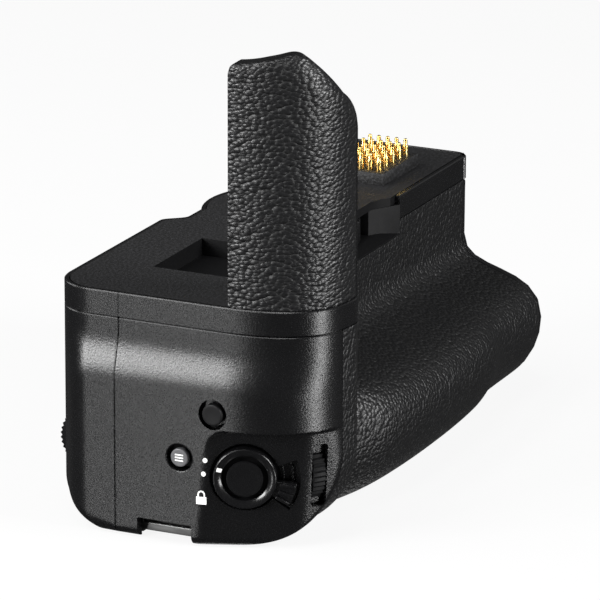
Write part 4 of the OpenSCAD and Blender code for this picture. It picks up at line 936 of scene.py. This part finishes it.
SOFTENED = [("bottom_cover", satin_abs, 0.3), ("far_cover", satin_abs, 0.3), ("wheel_recess", deep_black, 0.2),
            ("tower_liner", grip_skin, 0.25), ("connector_block", coarse_abs, 0.3),
            ("strap_lug", lug_steel, 0.25), ("tripod_socket", satin_steel, 0.25), ("thumb_rest", grip_skin, 0.5),
            ("locating_pins", satin_steel, 0.15), ("bottom_screws", black_steel, 0.1), ("top_screws", black_steel, 0.1),
            ("battery_tray", deep_black, 0.3), ("tray_cap", satin_abs, 0.4), ("battery_a", pack_case, 1.0),
            ("battery_b", pack_case, 1.0), ("tray_contacts", gold_plate, 0.08), ("latch_key", black_steel, 0.15),
            ("latch_tongue", satin_steel, 0.06), ("front_dial", deep_black, 0.1), ("rear_dial", knob_black, 0.1),
            ("thumbwheel", knob_black, 0.12)]
for node_name, material, offset in SOFTENED:
    dress(node_name, material, offset)
print(len(SOFTENED), "softened pieces")

# %% [markdown]
# The pieces inside keep their solids and only get a finish.

# %% Finishes of the inner pieces
INNER = {"front_cover": deep_black, "battery_chamber": deep_black, "chamber_contacts": gold_plate,
         "main_board": board_green, "shutter_bush": deep_black, "shutter_switch": deep_black,
         "function_guide": deep_black, "function_switch": deep_black, "menu_guide": deep_black,
         "menu_switch": deep_black, "focus_guide": deep_black, "focus_switch": deep_black,
         "front_dial_bracket": satin_steel, "rear_dial_bracket": satin_steel}
for node_name, material in INNER.items():
    mesh = frame["nodes"][node_name].data
    mesh.materials.clear()
    mesh.materials.append(material)
print(len(INNER), "inner pieces")

# %% [markdown]
# The shutter button is a shallow dish with a rounded edge. Round it turns the lock lever: a ring with
# a full rounded crest and a tab with three ribs for the thumb. A white bar on the ring points at two
# dots on the cover.

# %% Shutter button and lock lever
shutter = lathe([(0, 1.3), (2.4, 1.36), (3.7, 1.52), (4.1, 1.6), (4.36, 1.52), (4.5, 1.25), (4.5, 0.6), (2.4, 0.6),
                 (2.4, -8.9), (0, -8.9)], 96)
shutter_button = settle("shutter_button_cap", placed(shutter, to_shutter), "shutter_key", "cover_plastic", knob_black,
                        "shutter_button", angle=40)

ring = lathe([(5.6, -1.9), (5.6, 0.7), (5.75, 0.9), (7.2, 1.5), (7.42, 1.5), (7.6, 1.36), (7.7, 1.1), (7.7, -1.9),
              (5.6, -1.9)], 120)
tab_low, tab_top, tab_angle, tab_half = -1.2, 0.75, -20.0, 14.0
tab = sector_tool(6.8, 12.6, tab_low, tab_top, tab_angle - tab_half, tab_angle + tab_half, 0.35)
ribs = []
for turn in (11.0, -1.0, -11.0):
    rib = block((8.7, -0.4, 0.2), (12.3, 0.4, 1.4), 0.16)
    ribs.append(placed(rib, Matrix.Rotation(math.radians(tab_angle + turn), 4, "Z")))
lever = placed(joined([ring, tab] + ribs), to_shutter)
lock_lever = settle("lock_lever_ring", lever, "lock", "cover_plastic", knob_black, "lock_lever", angle=40)

steps = joined([sector_tool(r - 0.2, r + 0.2, -1.95, -1.3, -30, 19, 0.1) for r in (9.2, 11.5)])
settle("lock_pocket_steps", placed(steps, to_shutter), "grip", "cover_plastic", satin_abs, angle=40)
index_bar = placed(block((-0.65, -0.5, -0.15), (0.65, 0.5, 0.08), 0.06),
                   Matrix.Rotation(math.radians(161), 4, "Z") @ Matrix.Translation((6.5, 0, 1.2))
                   @ Matrix.Rotation(math.radians(-22), 4, "Y"))
settle("lock_index_bar", placed(index_bar, to_shutter), "lock", "cover_plastic", white_ink)
print("lever faces", len(lock_lever.data.polygons))

# %% [markdown]
# The small push buttons are turned discs on stems. The menu button carries three short bars, a sign
# that needs no words.


# %% Push buttons
def push_button(radius, up, dish):
    return lathe([(0, up - dish), (radius * 0.7, up - dish * 0.6), (radius * 0.86, up), (radius * 0.95, up - 0.08),
                  (radius, up - 0.3), (radius, -1.3), (1.5, -1.3), (1.5, -7.3), (0, -7.3)], 64)


for name, place, radius, up, body, material, slot in (
        ("function_button", to_function, 2.7, 0.5, "function_key", key_black, "cover_plastic"),
        ("menu_button", to_menu, 2.3, 0.1, "menu_key", button_gray, "gray_plastic"),
        ("focus_button", to_focus, 3.2, 0.7, "focus_key", knob_black, "cover_plastic")):
    settle(name + "_cap", placed(push_button(radius, up, 0.08), place), body, slot, material, name, angle=40)
bars = [block((-1.1, y - 0.16, -0.05), (1.1, y + 0.16, 0.09), 0.04, 1) for y in (-0.72, 0, 0.72)]
settle("menu_sign", placed(joined(bars), to_menu), "menu_key", "gray_plastic", white_ink)
print("buttons made")

# %% [markdown]
# The marks beside the lever are printed in white ink. Each is a thin flat shape whose points are laid
# onto the end face: two dots for the lever's positions and a small padlock.


# %% Printed marks
def laid_on_end(bm, y, z):
    """Lays a flat shape in (right, up, out) on the end face at a place given in y and z."""
    for v in bm.verts:
        p = on_facet(Vector((near_len + shelf_out, y + v.co.x, z + v.co.y)))
        v.co = p + Vector((1, 0.15, 0)) * v.co.z
    return bm


def dot(radius):
    return lathe([(0, -0.05), (radius, -0.05), (radius, 0.04), (0, 0.04)], 32)


marks = [laid_on_end(dot(0.62), 19.13, -38.22), laid_on_end(dot(0.62), 18.69, -41.72)]
lock_y, lock_z = 18.1, -47.0
shackle = bmesh.new()
bow = [shackle.verts.new((r, 0, z)) for r, z in ((0.62, -0.05), (1.0, -0.05), (1.0, 0.04), (0.62, 0.04))]
bmesh.ops.spin(shackle, geom=[shackle.faces.new(bow)], cent=(0, 0, 0), axis=(0, 0, 1), angle=math.pi, steps=20)
bmesh.ops.recalc_face_normals(shackle, faces=shackle.faces)
legs = [block((x - 0.19, -0.7, -0.05), (x + 0.19, 0, 0.04)) for x in (-0.81, 0.81)]
case = block((-1.35, -2.5, -0.05), (1.35, -0.6, 0.04))
for part in [case] + legs:
    bmesh.ops.subdivide_edges(part, edges=part.edges[:], cuts=7, use_grid_fill=True)
marks += [laid_on_end(part, lock_y, lock_z) for part in [shackle, case] + legs]
settle("printed_marks", joined(marks), "grip", "cover_plastic", white_ink)
print("marks made")

# %% [markdown]
# The contact block carries rows of spring contacts: a gold barrel with a thinner plunger and a round
# nose. The camera screw is a plain shank with a cut thread, which a small triangle draws as it is
# spun round the axis while it climbs.

# %% Contacts and camera screw
contact = [(0, 0.6), (0.75, 0.6), (0.75, 5.5), (0.69, 5.74), (0.56, 5.84), (0.51, 5.92), (0.51, 7.2), (0.43, 7.44),
           (0.26, 7.56), (0, 7.6)]
contacts = joined([placed(lathe(contact, 20), Matrix.Translation((-31.2 - 4.1 * i, 11.4 - 2.5 * j, 0)))
                   for i in range(5) for j in range(5)])
settle("contact_pin_field", contacts, "grip", "gold", gold_plate, "contact_pins", angle=50)

pitch, turns, steps_per_turn = 1.27, 3, 32
shank = lathe([(0, 4.6), (2.5, 4.6), (2.72, 4.3), (2.72, 0), (3, 0), (3, -13), (0, -13)], 48)
thread = bmesh.new()
tooth = [thread.verts.new((r, 0, z)) for r, z in ((2.65, 0.02), (3.175, 0.45), (3.175, 0.72), (2.65, 1.15))]
bmesh.ops.spin(thread, geom=[thread.faces.new(tooth)], cent=(0, 0, 0), axis=(0, 0, 1), angle=math.tau * turns,
               steps=steps_per_turn * turns, dvec=(0, 0, 0.93 * pitch / steps_per_turn))
bmesh.ops.recalc_face_normals(thread, faces=thread.faces)
settle("camera_screw_thread", joined([shank, thread]), "screw", "steel", satin_steel, "camera_screw", angle=30)
print("screw made")

# %% [markdown]
# The studio: a pale floor, a white surround and soft lamps. The part looks as it would on a sheet of
# clear glass over white: the floor keeps the shadow, but reflections and the cards below pass through
# it. The surround is white to the camera and much dimmer as light, so that black stays black.

# %% Floor and surround
floor_bm = bmesh.new()
bmesh.ops.create_grid(floor_bm, x_segments=1, y_segments=1, size=4)
bmesh.ops.translate(floor_bm, vec=(0, 0, (z_bot - 0.05) * MM), verts=floor_bm.verts)
floor_mesh = bpy.data.meshes.new("studio_floor")
floor_bm.to_mesh(floor_mesh)
floor_bm.free()
floor = bpy.data.objects.new("studio_floor", floor_mesh)
bpy.context.scene.collection.objects.link(floor)
paper, tree, shader = new_finish("studio_paper_white", Roughness=0.9)
coords = node(tree, "TexCoord").outputs["Object"]
fibre = node(tree, "TexNoise", {"Vector": coords, "Scale": per_mm(40), "Detail": 2.0})
tone = node(tree, "ValToRGB", {"Fac": fibre.outputs["Fac"]})
tone.color_ramp.elements[0].color = linear("#d8d8d8")
tone.color_ramp.elements[1].color = linear("#dedede")
tree.links.new(tone.outputs["Color"], shader.inputs["Base Color"])
glow = node(tree, "Emission", {"Color": (1, 1, 1, 1), "Strength": 1.0})
clear = node(tree, "BsdfTransparent")
seen = node(tree, "LightPath")
share = node(tree, "Math", {0: seen.outputs["Is Camera Ray"], 1: 0.88}, operation="MULTIPLY")
lifted = node(tree, "MixShader", {0: share.outputs["Value"], 1: shader.outputs["BSDF"], 2: glow.outputs["Emission"]})
skipped = node(tree, "Math", {0: seen.outputs["Is Glossy Ray"], 1: seen.outputs["Is Shadow Ray"]}, operation="MAXIMUM")
mixed = node(tree, "MixShader", {0: skipped.outputs["Value"], 1: lifted.outputs["Shader"], 2: clear.outputs["BSDF"]})
tree.links.new(mixed.outputs["Shader"], tree.nodes["Material Output"].inputs["Surface"])
floor_mesh.materials.append(paper)

world = bpy.data.worlds.new("studio_surround")
bpy.context.scene.world = world
world.use_nodes = True
tree = world.node_tree
tree.nodes.clear()
dim = node(tree, "Background", {"Color": (1, 1, 1, 1), "Strength": 0.02})
white = node(tree, "Background", {"Color": (1, 1, 1, 1), "Strength": 1.0})
seen = node(tree, "LightPath")
mirrored = node(tree, "Math", {0: seen.outputs["Is Glossy Ray"], 1: seen.outputs["Is Transmission Ray"]},
                operation="MAXIMUM")
share = node(tree, "Math", {0: mirrored.outputs["Value"], 1: 0.03, 2: seen.outputs["Is Camera Ray"]},
             operation="MULTIPLY_ADD")
mixed = node(tree, "MixShader", {0: share.outputs["Value"], 1: dim.outputs["Background"], 2: white.outputs["Background"]})
node(tree, "OutputWorld", {"Surface": mixed.outputs["Shader"]})
print("studio ready")

# %% [markdown]
# Each lamp stands where one face mirrors it into the camera. The overhead box draws the bright lines
# on the rim and the crest box those on the lever. The left box draws the gleam on the shelf, and the
# left card lights the end face under it. The right box picks out the grain of the tower, the right card
# the front corner and the hump, the far box the rubber behind them and the back card its foot. The rear
# box is for the back of the part.


# %% Lamps
def softbox(name, place, target, width, height, power):
    lamp = bpy.data.lights.new(name, "AREA")
    lamp.shape, lamp.size, lamp.size_y, lamp.energy = "RECTANGLE", width, height, power
    thing = bpy.data.objects.new(name, lamp)
    bpy.context.scene.collection.objects.link(thing)
    thing.location = place
    thing.rotation_euler = (Vector(target) - Vector(place)).to_track_quat("-Z", "Y").to_euler()
    return thing


softbox("overhead_softbox", (0.37, -0.41, 0.86), (0.06, 0.0, 0.0), 0.32, 0.32, 3.0)
softbox("crest_softbox", (0.34, 0.07, 0.95), (0.06, 0.0, 0.0), 0.30, 0.30, 2.2)
softbox("left_softbox", (0.843, -0.537, 0.30), (0.07, 0.01, -0.02), 0.50, 0.40, 14.0)
softbox("left_card", (0.922, -0.361, -0.30), (0.07, 0.01, -0.02), 0.05, 0.50, 1.2)
softbox("right_softbox", (-0.03, 0.95, 0.40), (0.05, 0.02, 0.0), 0.40, 0.50, 13.0)
softbox("right_card", (0.225, 0.974, -0.24), (0.05, 0.02, -0.03), 0.26, 0.23, 3.6)
softbox("far_softbox", (-0.85, 0.32, 0.42), (0.0, 0.03, -0.03), 0.5, 0.4, 0.15)
softbox("back_card", (-0.50, -0.12, -0.90), (0.0, 0.03, -0.03), 0.5, 0.4, 1.2)
softbox("rear_softbox", (0.10, -1.05, 0.50), (0.0, -0.02, -0.02), 0.6, 0.4, 4.0)
print("lamps", len(bpy.data.lights))

# %% [markdown]
# The camera stands far off with a long lens, above the control end and a little to the front, as in
# the picture. Its place and its axes were fitted to the outline, so they are given as they are.

# %% Camera
right, up, back = Vector((-0.4266, 0.9045, 0.0)), Vector((-0.2667, -0.1258, 0.9555)), Vector((0.8643, 0.4076, 0.2949))
roll = math.radians(0.13)
lens = bpy.data.cameras.new("product_camera")
lens.sensor_width, lens.lens, lens.clip_end = 36.0, 360.0, 20.0
camera = bpy.data.objects.new("product_camera", lens)
bpy.context.scene.collection.objects.link(camera)
axes = Matrix((right * math.cos(roll) + up * math.sin(roll), up * math.cos(roll) - right * math.sin(roll), back)).transposed()
camera.matrix_world = Matrix.Translation((1.3090, 0.6213, 0.4230)) @ axes.to_4x4()
bpy.context.scene.camera = camera
bpy.context.scene.view_settings.view_transform = "Standard"
print("camera at", [round(c, 3) for c in camera.location])
